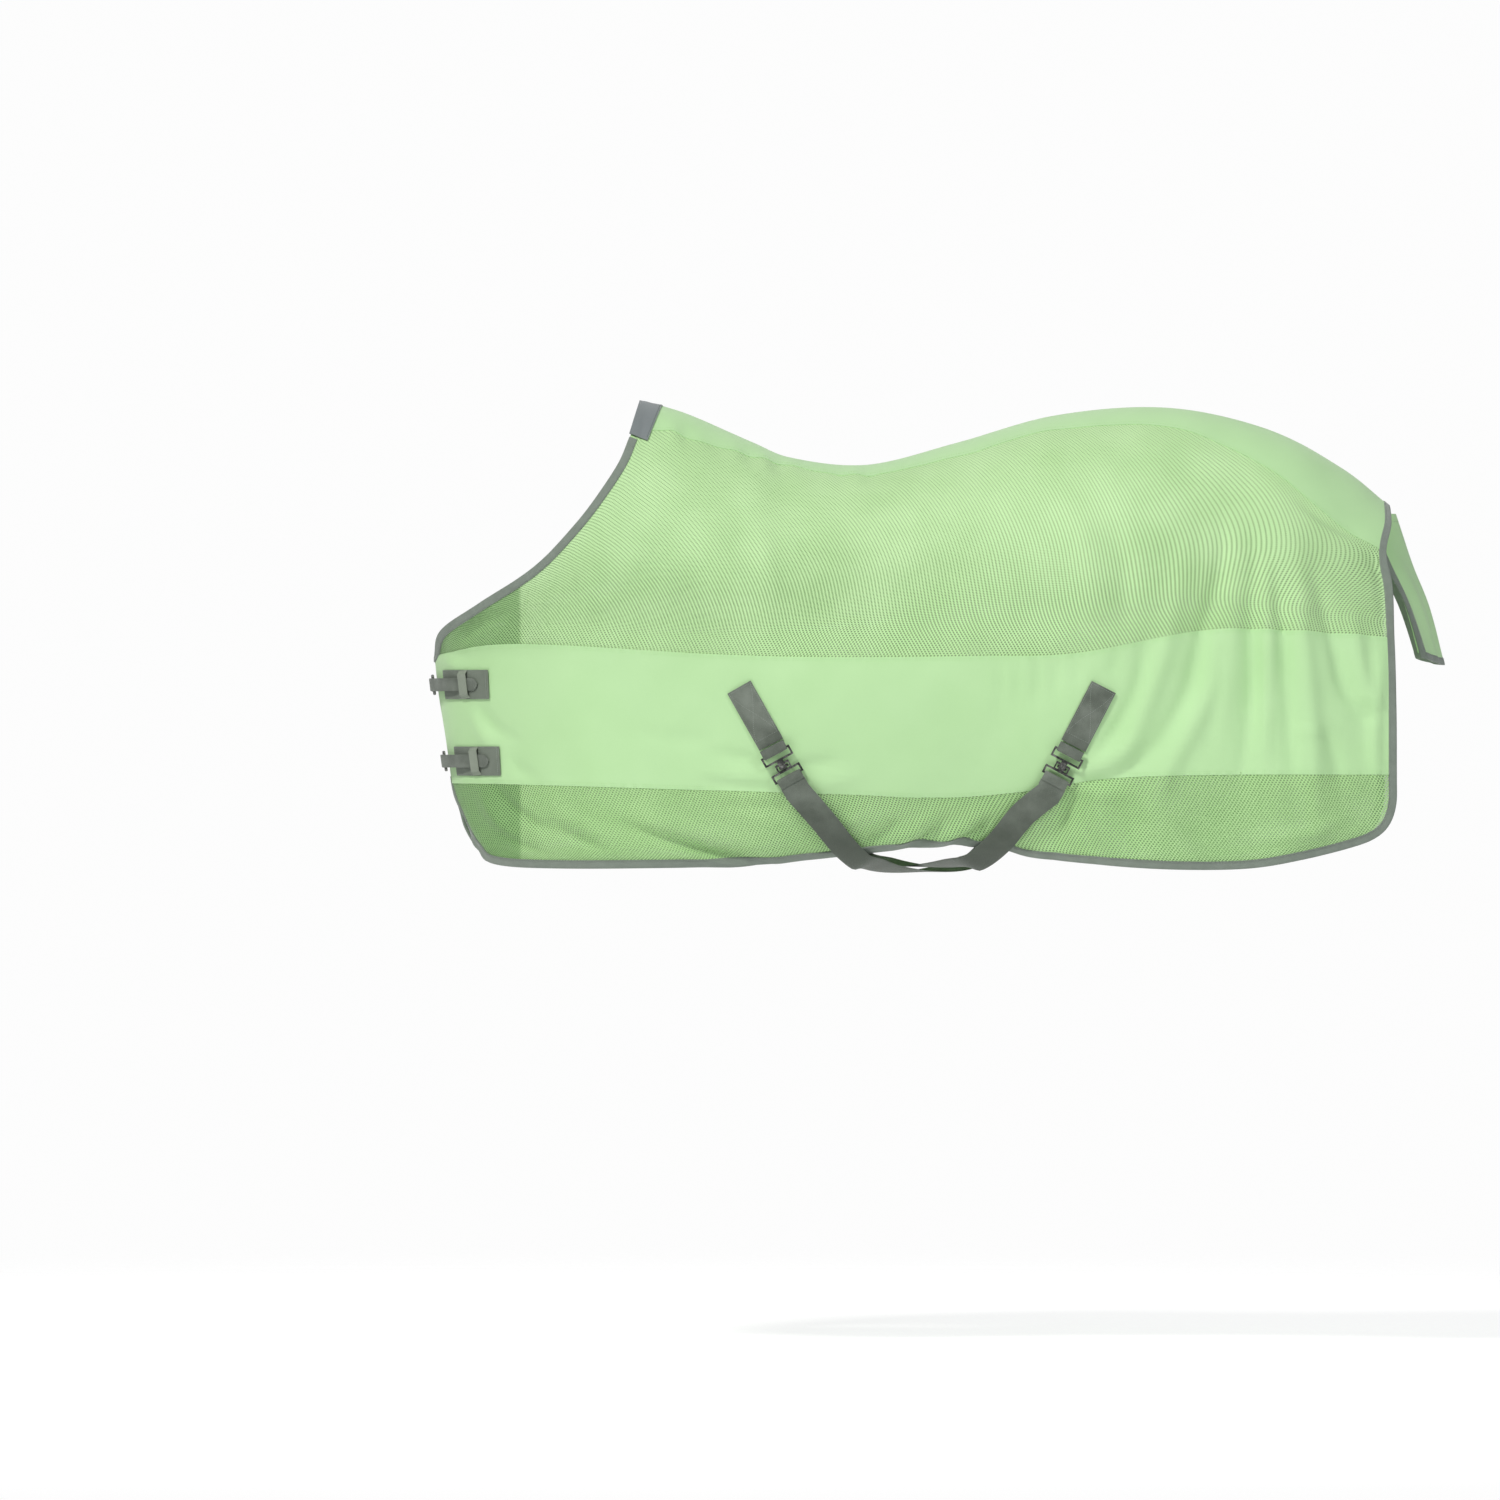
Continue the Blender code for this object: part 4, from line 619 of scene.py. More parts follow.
def mesh_finish(name, light, deep, shade, hole_wide, hole_tall, closed_up=None, pitch=0.0060,
                row_tall=0.0037):
    """Open warp-knit mesh: staggered six-sided holes, partly see-through and coloured with painted shade,
    drawn smaller high on the back, with heavier painted shade over the chest lining and the open
    hindquarters."""
    f = Finish(name, Roughness=0.6, Sheen_Weight=0.2, Sheen_Roughness=0.4, Specular_IOR_Level=0.3)
    u, v = f.cloth_measure()
    level = v / row_tall
    row = level.floor()
    across = u / pitch + 0.5 * (row % 2.0)
    dx = abs(across % 1.0 - 0.5) * pitch
    dy = abs(level % 1.0 - 0.5) * row_tall
    inside = (dx / (hole_wide / 2)).higher((dx * 0.5) / (hole_wide / 2) + dy / (hole_tall / 2) * 0.75)
    fine = f.noise(700.0, 2.0)
    broad = f.noise(8.0, 2.0)
    split = f.node("ShaderNodeSeparateXYZ", {}, {"Vector": f.place()})
    along, height = f.out(split, "X"), f.out(split, "Z")
    # Painted shade masks: the chest ahead of the lining seam, and the open rear where the sheet hangs off the
    # body.
    lined_shade_paint = f.span(along, -0.209, -0.201, 1.0, 0.0)
    rear_gap_shade_paint = f.span(along + height * 0.1, 1.155, 1.225, 0.0, 1.0) * f.span(height, -0.25, -0.20, 1.0, 0.0)
    hole_shade_paint = lined_shade_paint.higher(rear_gap_shade_paint * 0.7)
    # Holes drawn smaller high on the back, so less painted shade shows there.
    if closed_up:
        back_hole_closing = f.span(height + (broad - 0.5) * 0.16, closed_up[0], closed_up[1], 0.0, 0.75)
        inside = inside * (1.0 + back_hole_closing * (1.0 - hole_shade_paint))
    hole = f.span(inside + (fine - 0.5) * 0.2, 0.92, 1.06, 1.0, 0.0)
    rim = f.span(inside, 1.0, 1.7)
    # Yarn drawn darker towards each hole: painted shade at the hole rims.
    tone = f.span(broad * 0.5 + 0.25 + (fine - 0.5) * 0.3, 0.25, 0.75) * (0.35 + 0.65 * rim)
    # Over the chest lining the yarn is mixed towards the shade colour: painted shade.
    yarn = f.mix(tone, f.mix(lined_shade_paint * 0.5, deep, shade), f.mix(lined_shade_paint * 0.5, light, shade))
    # Holes take the shade colour and are only partly see-through: painted shade, heavier over the chest
    # lining and the open rear.
    return f.set(Base_Color=f.mix(hole * (0.55 + 0.45 * hole_shade_paint), yarn, shade), Alpha=1.0 - hole * 0.55,
                 Normal=f.bump(rim + fine * 0.3, 0.0004, 0.9))


def tape_finish(name, light, deep):
    """Ribbed tape: ribs across the run, fuzz between them."""
    f = Finish(name, Roughness=0.7, Sheen_Weight=0.3, Sheen_Roughness=0.5, Specular_IOR_Level=0.25)
    u, _ = f.cloth_measure()
    ribs = (u * (2 * math.pi / TAPE_RIB)).sin()
    fine = f.noise(1200.0, 2.0)
    tone = f.span(ribs * 0.35 + f.noise(60.0, 3.0) + (fine - 0.5) * 0.5, 0.1, 0.9)
    return f.set(Base_Color=f.mix(tone, deep, light), Roughness=0.62 + 0.2 * fine,
                 Normal=f.bump(ribs * 0.5 + fine * 0.8, 0.0003, 0.8))


def webbing_finish(name, light, deep, pick=0.0021):
    """Heavy woven webbing: warp cords crossed by picks, with painted shade darkening it towards the bottom,
    under the belly.
    """
    f = Finish(name, Roughness=0.66, Sheen_Weight=0.25, Sheen_Roughness=0.5, Specular_IOR_Level=0.3)
    u, v = f.cloth_measure()
    cords = v * (2 * math.pi / WARP_CORD)
    picks = u * (2 * math.pi / pick)
    weave = (cords.sin() * 0.5 + picks.sin() * 0.5 * (cords * 0.5).sin())
    fine = f.noise(1100.0, 2.0)
    broad = f.noise(26.0, 3.0)
    height = f.out(f.node("ShaderNodeSeparateXYZ", {}, {"Vector": f.place()}), "Z")
    # Painted shade: the webbing is drawn darker lower down, where it passes under the belly.
    under = f.span(height, -0.80, -0.62, 0.15, 1.0)
    tone = f.span(weave * 0.25 + broad + (fine - 0.5) * 0.4, 0.1, 0.95) * under
    return f.set(Base_Color=f.mix(tone, deep, light), Roughness=0.6 + 0.15 * fine,
                 Normal=f.bump(weave + fine * 0.5, 0.00035, 0.85))


def metal_finish(name, base, worn, rough):
    """Plated metal: fine scratches, and plating thinned where it rubs."""
    f = Finish(name, Metallic=0.9, Roughness=rough)
    scratch = f.noise(420.0, 4.0, 0.7)
    broad = f.noise(70.0, 2.0)
    wear = f.span(scratch * 0.6 + broad * 0.5, 0.50, 0.72)
    return f.set(Base_Color=f.mix(wear, base, worn), Roughness=rough + 0.18 * scratch,
                 Normal=f.bump(scratch, 0.00008, 0.5))


def thread_finish(name, colour, shade):
    """Smooth twisted thread."""
    f = Finish(name, Roughness=0.55, Sheen_Weight=0.2, Specular_IOR_Level=0.3)
    fine = f.noise(1500.0, 1.0)
    return f.set(Base_Color=f.mix(fine, shade, colour), Normal=f.bump(fine, 0.0001, 0.5))


LEAF, LEAF_DEEP = (0.51, 0.765, 0.41), (0.46, 0.72, 0.36)
FINISH = {
    "knit": knit_finish("close_knit", LEAF, LEAF_DEEP),
    "upper_mesh": mesh_finish("open_mesh", (0.56, 0.80, 0.43), (0.44, 0.68, 0.32), (0.15, 0.33, 0.10),
                              0.0030, 0.0022, (-0.42, -0.12)),
    # The skirt's mesh is the upper mesh drawn darker: painted shade under the belly.
    "lower_mesh": mesh_finish("open_mesh_skirt", (0.51, 0.76, 0.37), (0.36, 0.60, 0.25), (0.12, 0.29, 0.08),
                              0.0031, 0.0024),
    # The lining is drawn in dark greens: painted shade of the second layer and the dark inside.
    "lining": mesh_finish("lining_mesh", (0.24, 0.44, 0.17), (0.15, 0.32, 0.10), (0.05, 0.13, 0.03),
                          0.0030, 0.0024),
    "tape": tape_finish("ribbed_tape", (0.235, 0.275, 0.235), (0.170, 0.205, 0.170)),
    "withers": knit_finish("smooth_slate_cloth", (0.225, 0.250, 0.256), (0.185, 0.208, 0.215)),
    "patch": webbing_finish("woven_patch", (0.200, 0.235, 0.190), (0.140, 0.170, 0.130)),
    # The webbing's deep colour is where the painted shade under the belly takes it.
    "webbing": webbing_finish("grey_webbing", (0.230, 0.262, 0.222), (0.062, 0.078, 0.058)),
    "buckle": metal_finish("dull_nickel", (0.20, 0.20, 0.19), (0.42, 0.42, 0.40), 0.34),
    "clip": metal_finish("gunmetal", (0.045, 0.048, 0.045), (0.24, 0.24, 0.23), 0.30),
    "grey_thread": thread_finish("grey_thread", (0.26, 0.29, 0.26), (0.17, 0.19, 0.17)),
    "green_thread": thread_finish("green_thread", (0.46, 0.74, 0.32), (0.34, 0.58, 0.23)),
    "dark_thread": thread_finish("dark_green_thread", (0.05, 0.13, 0.05), (0.03, 0.08, 0.03)),
    "pale_thread": thread_finish("pale_grey_thread", (0.42, 0.46, 0.42), (0.30, 0.34, 0.30)),
    "keeper": webbing_finish("pale_keeper_webbing", (0.30, 0.35, 0.27), (0.22, 0.26, 0.20), 0.0017),
}

# ---------------------------------------------------------------- knitted panels
# each panel: its four runs, lift, thickness, finish, slot, laps above and below
PANELS = {
    "upper_mesh": ((STRIP_EDGE, FLANK_TOP, NECK, MESH_REAR), MESH_LIFT, MESH_THICK, "upper_mesh", "mesh",
                   (LAP, -LAP)),
    "solid_band": ((FLANK_TOP, FLANK_FOOT, CHEST, FLANK_REAR), KNIT_LIFT, KNIT_THICK, "knit", "knit", (0, 0)),
    "lower_mesh": ((FLANK_FOOT, HEM, FRONT_CORNER, REAR_CORNER), MESH_LIFT, MESH_THICK, "lower_mesh", "mesh",
                   (LAP, 0)),
}


def cloth_area(places):
    """Area of a grid of places, as two triangles to each of its cells."""
    a, b = places[1:, :-1] - places[:-1, :-1], places[:-1, 1:] - places[:-1, :-1]
    c, d = places[1:, :-1] - places[1:, 1:], places[:-1, 1:] - places[1:, 1:]
    return 0.5 * (np.linalg.norm(np.cross(a, b), axis=2) + np.linalg.norm(np.cross(c, d), axis=2)).sum()


def declare(places, fullness=1.02):
    """Works out the flat cut of a panel, measured over its smooth form with a little fullness for the folds;
    the figure is not kept.
    """
    wide = np.linalg.norm(np.diff(places, axis=1), axis=2).sum(1).max() * fullness
    tall = np.linalg.norm(np.diff(places, axis=0), axis=2).sum(0).max() * fullness
    area = cloth_area(places) * fullness ** 2
    min(area, wide * tall)


def make_panels(word):
    """One side's three knitted panels, their edge tapes and the chest lining."""
    side = SIDES[word]
    for name, (runs, lift, thick, finish, slot, laps) in PANELS.items():
        grid = panel_places(*runs)
        above, below = laps
        if above:
            grid = np.concatenate([grid[:1] + (0, above), grid])
        if below:
            grid = np.concatenate([grid, grid[-1:] + (0, below)])
        x, z = grid[..., 0], grid[..., 1]
        plain = skin(x, z, 0.0, side)
        stand = drape(x, z, side)
        piece = two_faced(f"{name}_cloth_{word}", skin(x, z, stand + lift + thick, side),
                          skin(x, z, stand + lift, side), measured(plain), FINISH[finish], "sheet")
        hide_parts(f"{name}_{word}")
        declare(plain)
    for name, points, turn in (("neck", NECK, -1), ("rear", DOCK_EDGE + MESH_REAR[1:] + FLANK_REAR[1:], 1),
                               ("hem", FRONT_CORNER + HEM[1:] + REAR_CORNER[-2::-1], -1)):
        run = stations_of(points)
        if name == "neck":
            run = run[1:]
        edge_tape(f"{name}_tape_{word}", run, turn, side, f"{name}_binding_{word}")
        tape_rows[word].append(march(run, turn, [TAPE_SEAM])[0])
    front, seam = smooth_run(LINING_FRONT), smooth_run(LINING_SEAM)
    front, seam = spaced(front, -1, 36), spaced(seam, -1, 36)
    grid = np.stack([front * (1 - t) + seam * t for t in np.linspace(0, 1, 16)], 1)
    x, z = grid[..., 0], grid[..., 1]
    stand = drape(x, z, side) * 0.6 - 0.0062
    plain = skin(x, z, 0.0, side)
    piece = two_faced(f"chest_lining_cloth_{word}", skin(x, z, stand + 0.0009, side), skin(x, z, stand, side),
                      measured(plain), FINISH["lining"], "sheet")
    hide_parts(f"chest_lining_{word}")
    declare(plain)


def make_topline():
    """The close-knit panel laid along the back, over both sides."""
    top = spaced(smooth_run(TOPLINE, 30), -1, 180)
    foot = spaced(smooth_run(STRIP_EDGE, 30), -1, 180) + (0, -0.001)
    shares = np.linspace(0, 1, 15)[1:] ** 2
    lifts = (0.0, KNIT_LIFT, KNIT_LIFT + KNIT_THICK)
    halves = {}
    for side in (-1, 1):
        grid = np.stack([top * (1 - s) + foot * s for s in shares])
        x, z = grid[..., 0], grid[..., 1]
        stand = drape(x, z, side)
        halves[side] = [skin(x, z, stand + lift, side) for lift in lifts]
    rows = []
    for k, lift in enumerate(lifts):
        spine = np.stack([top[:, 0], 0 * top[:, 0], top[:, 1] + lift], -1)
        rows.append(np.concatenate([halves[-1][k][::-1], spine[None], halves[1][k]]))
    piece = two_faced("topline_cloth", rows[2], rows[1], measured(rows[0]), FINISH["knit"], "sheet")
    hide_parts("topline_panel")
    declare(rows[0])


def make_withers_patch():
    """The smooth patch saddled over the front of the topline panel."""
    across = np.linspace(-1, 1, 41)
    share = (np.abs(across) ** 2)[:, None]
    front = (1 - share) * np.array((-0.004, -0.0018)) + share * np.array((-0.0205, -0.060))
    rear = (1 - share) * np.array((0.035, -0.0082)) + share * np.array((0.0115, -0.071))
    grid = np.stack([front * (1 - t) + rear * t for t in np.linspace(0, 1, 14)], 1)
    x = grid[..., 0]
    z = np.minimum(grid[..., 1], crest(x) - 1e-5)
    lift = PATCH_LIFT + PATCH_RISE * (1 - ease(np.linspace(0, 1, 14), 0.25, 0.6))[None, :] + 0 * x
    faces = []
    for up in (0.0, PATCH_THICK):
        near, far = skin(x, z, lift + up, -1), skin(x, z, lift + up, 1)
        faces.append(np.where((across < 0)[:, None, None], near, far))
        middle = len(across) // 2
        faces[-1][middle] = 0.5 * (near[middle] + far[middle])
    piece = two_faced("withers_patch_cloth", faces[1], faces[0], measured(faces[1]), FINISH["withers"],
                      "sheet")
    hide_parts("withers_patch")
    return faces[1]


# ---------------------------------------------------------------- tail flap
def flap(u, v, lift=0.0):
    """Places on the tail flap: u across from -1 near to 1 far, v down from the dock."""
    run = smooth_run(FLAP_SPINE, 40)
    share = np.linspace(0, 1, len(run))
    sx, sz = np.interp(v, share, run[:, 0]), np.interp(v, share, run[:, 1])
    half = FLAP_HALF * (0.45 + 0.55 * ease(v, 0.0, 0.45))
    turn = FLAP_TURN * u
    wave = 0.0035 * v * np.sin(7.5 * u + 0.8) * (1 - u * u) + 0.0022 * v * np.sin(13 * u - 6 * v)
    lift = lift + wave
    x = sx + lift - FLAP_WRAP * (1 - 0.35 * v) * (1 - np.cos(turn)) / (1 - math.cos(FLAP_TURN))
    y = (half + lift) * np.sin(turn) / math.sin(FLAP_TURN)
    return np.stack([x, y, sz + 0.012 * u * u * v], -1)


def flap_tape(name, u, v, along_first, node):
    """Tape on the flap: an oval section over its edge band."""
    high = np.sin(np.linspace(0.12, math.pi - 0.12, u.shape[1 if along_first else 0])) ** 0.25
    high = high[None, :] if along_first else high[:, None]
    outer, inner = flap(u, v, 0.0006 + 0.0017 * high), flap(u, v, 0.0006 - 0.0011 * high)
    cloth_run = measured(outer, column=0, row=0)
    piece = two_faced(name, outer, inner, cloth_run[..., ::-1] if along_first else cloth_run,
                      FINISH["tape"], "tail_flap")
    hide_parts(node)
    return piece


def make_tail_flap():
    """The tail flap, its three tapes and their stitching."""
    u, v = np.meshgrid(np.linspace(-0.965, 0.965, 44), np.linspace(0.0, 0.985, 44))
    plain = flap(u, v, 0.0)
    cloth_piece = two_faced("tail_flap_cloth", flap(u, v, 0.0011), flap(u, v, 0.0001), measured(plain),
                            FINISH["knit"], "tail_flap")
    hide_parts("tail_flap")
    for word, side in SIDES.items():
        u, v = np.meshgrid(np.linspace(0.875, 1.0, 9) * side, np.linspace(0.01, 0.99, 60))
        flap_tape(f"flap_side_tape_{word}", u, v, True, f"tail_flap_side_binding_{word}")
    u, v = np.meshgrid(np.linspace(-1.0, 1.0, 60), np.linspace(0.957, 1.0, 9))
    flap_tape("flap_hem_tape", u, v, False, "tail_flap_hem_binding")
    declare(plain)
    t = np.linspace(0.02, 0.975, 120)
    rows = [flap(side * 0.885 + 0 * t, t, 0.0026) for side in (-1, 1)]
    s = np.linspace(-0.9, 0.9, 80)
    rows += [flap(s, 0.964 + 0 * s, 0.0026), flap(np.linspace(-0.95, 0.95, 60), np.full(60, 0.05), 0.0014)]
    sew("flap_stitching", rows, "grey_thread", "tail_flap")


# ---------------------------------------------------------------- chest fastenings
RUNNING, FRAME_WIRE, FRAME_GAP, ROLLER, BAR_ANGLE = 0.0004, 0.0032, 0.028, 0.0034, 0.125
FOLD_INNER = FRAME_WIRE / 2 + RUNNING + 0.0010 + RUNNING
CHEST_BASE = CLOTH_TOP + LAID
BAR_LIFT = CHEST_BASE + 0.0015 + FOLD_INNER + RUNNING


def chest(angle, middle, lift):
    """A place round the chest: angle 0 at its middle, positive on the near side."""
    def ground(a):
        x = front_line(middle) + CHEST_ROUND * (1 - np.cos(a))
        return np.array([x, -half_width(x, middle), middle], float)
    size = abs(angle)
    course = ground(size + 0.02) - ground(max(size - 0.02, 0.0))
    out = np.array([course[1], -course[0], 0.0])
    if size < 1e-6:
        out = np.array([-1.0, 0.0, 0.0])
    out = out / np.linalg.norm(out) * (-1 if out[0] > 0 else 1)
    place = ground(size) + out * lift
    if angle < 0:
        place[1], out[1] = -place[1], -out[1]
    return place, out


def chest_rise(middle):
    """The direction up the chest at a level."""
    return unit(np.array([float(front_line(middle + 0.02) - front_line(middle - 0.02)), 0.0, 0.04]))


def chest_band(name, stations, middle, width, thick, finish, node, count=60):
    """Webbing or cloth round the chest through (angle, lift) stations."""
    run = smooth_run(stations, max(2, count // len(stations)))
    rise = chest_rise(middle)
    centres = np.array([chest(a, middle, lift + thick / 2)[0] for a, lift in run])
    course = np.gradient(centres, axis=0)
    outs = unit(np.cross(rise, course))
    if outs[len(outs) // 2] @ chest(run[len(run) // 2][0], middle, 0)[1] < 0:
        outs = -outs
    return ribbon(name, centres, outs, width, thick, FINISH[finish], "sheet", [node])


def wire_ring(name, corners, wire, finish, body, node, sides=16, steps=8):
    """A closed ring of round wire through rounded corners."""
    corners = np.array(corners)
    path = []
    for k in range(len(corners)):
        here, before, after = corners[k], corners[k - 1], corners[(k + 1) % len(corners)]
        a, b = here + unit(before - here) * wire * 1.1, here + unit(after - here) * wire * 1.1
        for t in np.linspace(0, 1, steps):
            path.append((1 - t) ** 2 * a + 2 * t * (1 - t) * here + t * t * b)
    path = np.array(path)
    normal = unit(np.cross(corners[1] - corners[0], corners[2] - corners[1]))
    course = unit(np.roll(path, -1, 0) - np.roll(path, 1, 0))
    sideways = unit(np.cross(course, normal))
    bm = bmesh.new()
    turns = np.arange(sides) * 2 * math.pi / sides
    rings = [[bm.verts.new(p + (math.cos(t) * s + math.sin(t) * normal) * wire / 2) for t in turns]
             for p, s in zip(path, sideways)]
    for k, ring in enumerate(rings):
        other = rings[(k + 1) % len(rings)]
        for s in range(sides):
            bm.faces.new((ring[s], ring[(s + 1) % sides], other[(s + 1) % sides], other[s]))
    bmesh.ops.recalc_face_normals(bm, faces=bm.faces)
    piece = finished(name, mesh_from(bm, name), FINISH[finish], body)
    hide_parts(node)


def turned(name, centre, axis, profile, finish, body, node, sides=32):
    """A ring turned about an axis from (radius, distance along) places."""
    across = unit(np.cross(axis, (0.31, 0.72, 0.53)))
    other = np.cross(axis, across)
    bm = bmesh.new()
    loops = []
    turns = np.arange(sides) * 2 * math.pi / sides
    for radius, shift in profile:
        middle = centre + axis * shift
        loops.append([bm.verts.new(middle + radius * (math.cos(t) * across + math.sin(t) * other))
                      for t in turns])
    for k in range(len(loops)):
        a, b = loops[k], loops[(k + 1) % len(loops)]
        for s in range(sides):
            bm.faces.new((a[s], a[(s + 1) % sides], b[(s + 1) % sides], b[s]))
    bmesh.ops.recalc_face_normals(bm, faces=bm.faces)
    piece = finished(name, mesh_from(bm, name), FINISH[finish], body)
    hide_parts(node)


def eased(node, name, finish, body, width=0.0005, segments=2):
    """A metal node with its edges eased."""
    bm = bmesh.new()
    bm.from_mesh(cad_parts[node].data)
    bmesh.ops.remove_doubles(bm, verts=bm.verts, dist=1e-6)
    bmesh.ops.dissolve_limit(bm, angle_limit=math.radians(1.5), verts=bm.verts, edges=bm.edges)
    sharp = [e for e in bm.edges if len(e.link_faces) == 2 and e.calc_face_angle() > math.radians(35)]
    bmesh.ops.bevel(bm, geom=sharp, offset=width, offset_type="OFFSET", segments=segments, profile=0.5,
                    affect="EDGES", clamp_overlap=True)
    bmesh.ops.triangulate(bm, faces=[f for f in bm.faces if len(f.verts) > 4])
    piece = finished(name, mesh_from(bm, name), FINISH[finish], body, 40)
    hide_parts(node)


def make_closure(level, middle):
    """One chest fastening: buckle, chape, two patches, billet and keeper. Gives the patches' faces."""
    rise = chest_rise(middle)
    bar, _ = chest(BAR_ANGLE, middle, BAR_LIFT)
    ahead, _ = chest(BAR_ANGLE - FRAME_GAP / CHEST_ROUND, middle, BAR_LIFT)
    forward = unit(ahead - bar)
    outward = unit(np.array([forward[1], -forward[0], 0.0]))
    outward = -outward if outward[0] > 0 else outward
    half = (BILLET_WIDTH + 2 * FRAME_WIRE + 0.004) / 2
    roller = bar + forward * FRAME_GAP
    wire_ring(f"buckle_{level}_frame", [bar - rise * half, roller - rise * half, roller + rise * half,
                                        bar + rise * half], FRAME_WIRE, "buckle", f"buckle_{level}",
              f"buckle_frame_{level}")
    length, bore = (BILLET_WIDTH + 0.001) / 2, FRAME_WIRE / 2 + 0.0008
    turned(f"buckle_{level}_roller", roller, rise,
           [(bore, -length), (ROLLER - 0.0005, -length), (ROLLER, -length + 0.0006),
            (ROLLER, length - 0.0006), (ROLLER - 0.0005, length), (bore, length)],
           "buckle", f"roller_{level}",
           f"buckle_roller_{level}")
    eased(f"buckle_prong_{level}", f"buckle_{level}_prong", "buckle", f"prong_{level}",
          0.0004)
    radius = FOLD_INNER + 0.0015 / 2
    low = CHEST_BASE + PATCH_THICK + LAID
    bend = [bar + (forward * math.cos(t) + outward * math.sin(t)) * radius
            for t in np.linspace(math.pi / 2, -math.pi / 2, 13)]
    under = [chest(a, middle, low + 0.00075)[0] for a in (0.50, 0.44, 0.38, 0.32)]
    over = [chest(a, middle, low + 0.00255)[0] for a in (0.50, 0.44, 0.38, 0.32)]
    for share in (0.33, 0.66):
        angle = 0.32 + (BAR_ANGLE - 0.32) * share
        under.append(chest(angle, middle, (low + 0.00075) * (1 - share) + (BAR_LIFT - radius) * share)[0])
        over.append(chest(angle, middle, (low + 0.00225) * (1 - share) + (BAR_LIFT + radius) * share)[0])
    path = np.array(over + bend + under[::-1])
    outs = np.cross(np.gradient(path, axis=0), rise)
    ribbon(f"chape_{level}", path, outs, BILLET_WIDTH, 0.0015, FINISH["webbing"], "sheet",
           [f"chest_chape_{level}"])
    top_faces = []
    for angles, node in (((0.34, 0.85), "chest_patch"), ((-0.30, -0.86), "billet_patch")):
        stations = [(a, CHEST_BASE) for a in np.linspace(*angles, 8)]
        top_faces.append(chest_band(f"{node}_{level}_cloth", stations, middle, PATCH_TALL, PATCH_THICK,
                                    "patch", f"{node}_{level}"))
    rest, close = CHEST_BASE + PATCH_THICK + LAID, CLOTH_TOP + 0.0014
    above = BAR_LIFT + FOLD_INNER + 0.0015 + 2 * RUNNING
    billet = [(-0.82, rest), (-0.72, rest), (-0.62, rest), (-0.52, rest), (-0.42, rest), (-0.32, rest),
              (-0.22, rest - 0.001), (-0.12, close), (-0.05, close), (0.0, close), (0.030, close),
              (0.050, close + 0.0016), (0.085, above - 0.003), (0.105, above), (0.140, above),
              (0.200, above - 0.0012), (0.27, above - 0.0018), (0.36, above - 0.002), (0.45, above - 0.0022),
              (0.53, rest + 0.0036), (0.59, rest + 0.0010), (0.66, rest), (0.76, rest)]
    count = len(smooth_run(billet, max(2, 160 // len(billet))))
    tip = np.linspace(0, 1, count)
    width = BILLET_WIDTH * np.sqrt(np.clip(1 - (np.clip(tip - 0.972, 0, 1) / 0.0285) ** 2, 0.02, 1))
    chest_band(f"billet_{level}_strap", billet, middle, width, 0.0015, "webbing",
               f"billet_{level}", count=160)
    share = np.linspace(-0.5, 0.5, 25)
    arch = ease(0.5 - np.abs(share), 0.02, 0.14)
    lift = CHEST_BASE + PATCH_THICK + 0.0008 + arch * (LAID + 0.0024)
    place, out = chest(0.625, middle, 0.0)
    centres = place + rise * (share * 0.048)[:, None] + out * lift[:, None]
    ribbon(f"keeper_{level}_loop", centres, np.tile(out, (25, 1)), 0.021, 0.0012, FINISH["keeper"], "sheet",
           [f"keeper_{level}"])
    return top_faces


# ---------------------------------------------------------------- surcingles
HOOK_DEPTH, HOOK_BAR, HOOK_THICK, HOOK_LIFT, SLOT_BODY = 0.016, 0.0034, 0.0030, 0.0105, 0.013


def beside_clip(which, along, across, lift):
    """A place near a clip: along the webbing past the tab's foot, across it, off the cloth."""
    (x, z), course = CLIPS[which]
    down = unit(np.array(course))
    flat = np.array([x, z]) + down * (TAB_LENGTH + along) + np.array([-down[1], down[0]]) * across
    return skin(flat[0], flat[1], np.float64(lift))


def clip_axes(which):
    """Matrix of a flat clip: X along the webbing, Y across it, Z outwards."""
    lift = CLOTH_TOP + HOOK_LIFT
    centre = beside_clip(which, 0.0075, 0.0, lift)
    x_axis = unit(beside_clip(which, 0.0225, 0, lift) - beside_clip(which, -0.0075, 0, lift))
    across = beside_clip(which, 0.0075, 0.015, lift) - beside_clip(which, 0.0075, -0.015, lift)
    z_axis = unit(np.cross(x_axis, across))
    z_axis = -z_axis if z_axis[1] > 0 else z_axis
    y_axis = np.cross(z_axis, x_axis)
    matrix = np.eye(4)
    matrix[:3, 0], matrix[:3, 1], matrix[:3, 2], matrix[:3, 3] = x_axis, y_axis, z_axis, centre
    return matrix


def set_out(matrix, points):
    """Places given in a clip's own axes, moved to where the clip lies."""
    points = np.asarray(points, float)
    return points @ matrix[:3, :3].T + matrix[:3, 3]


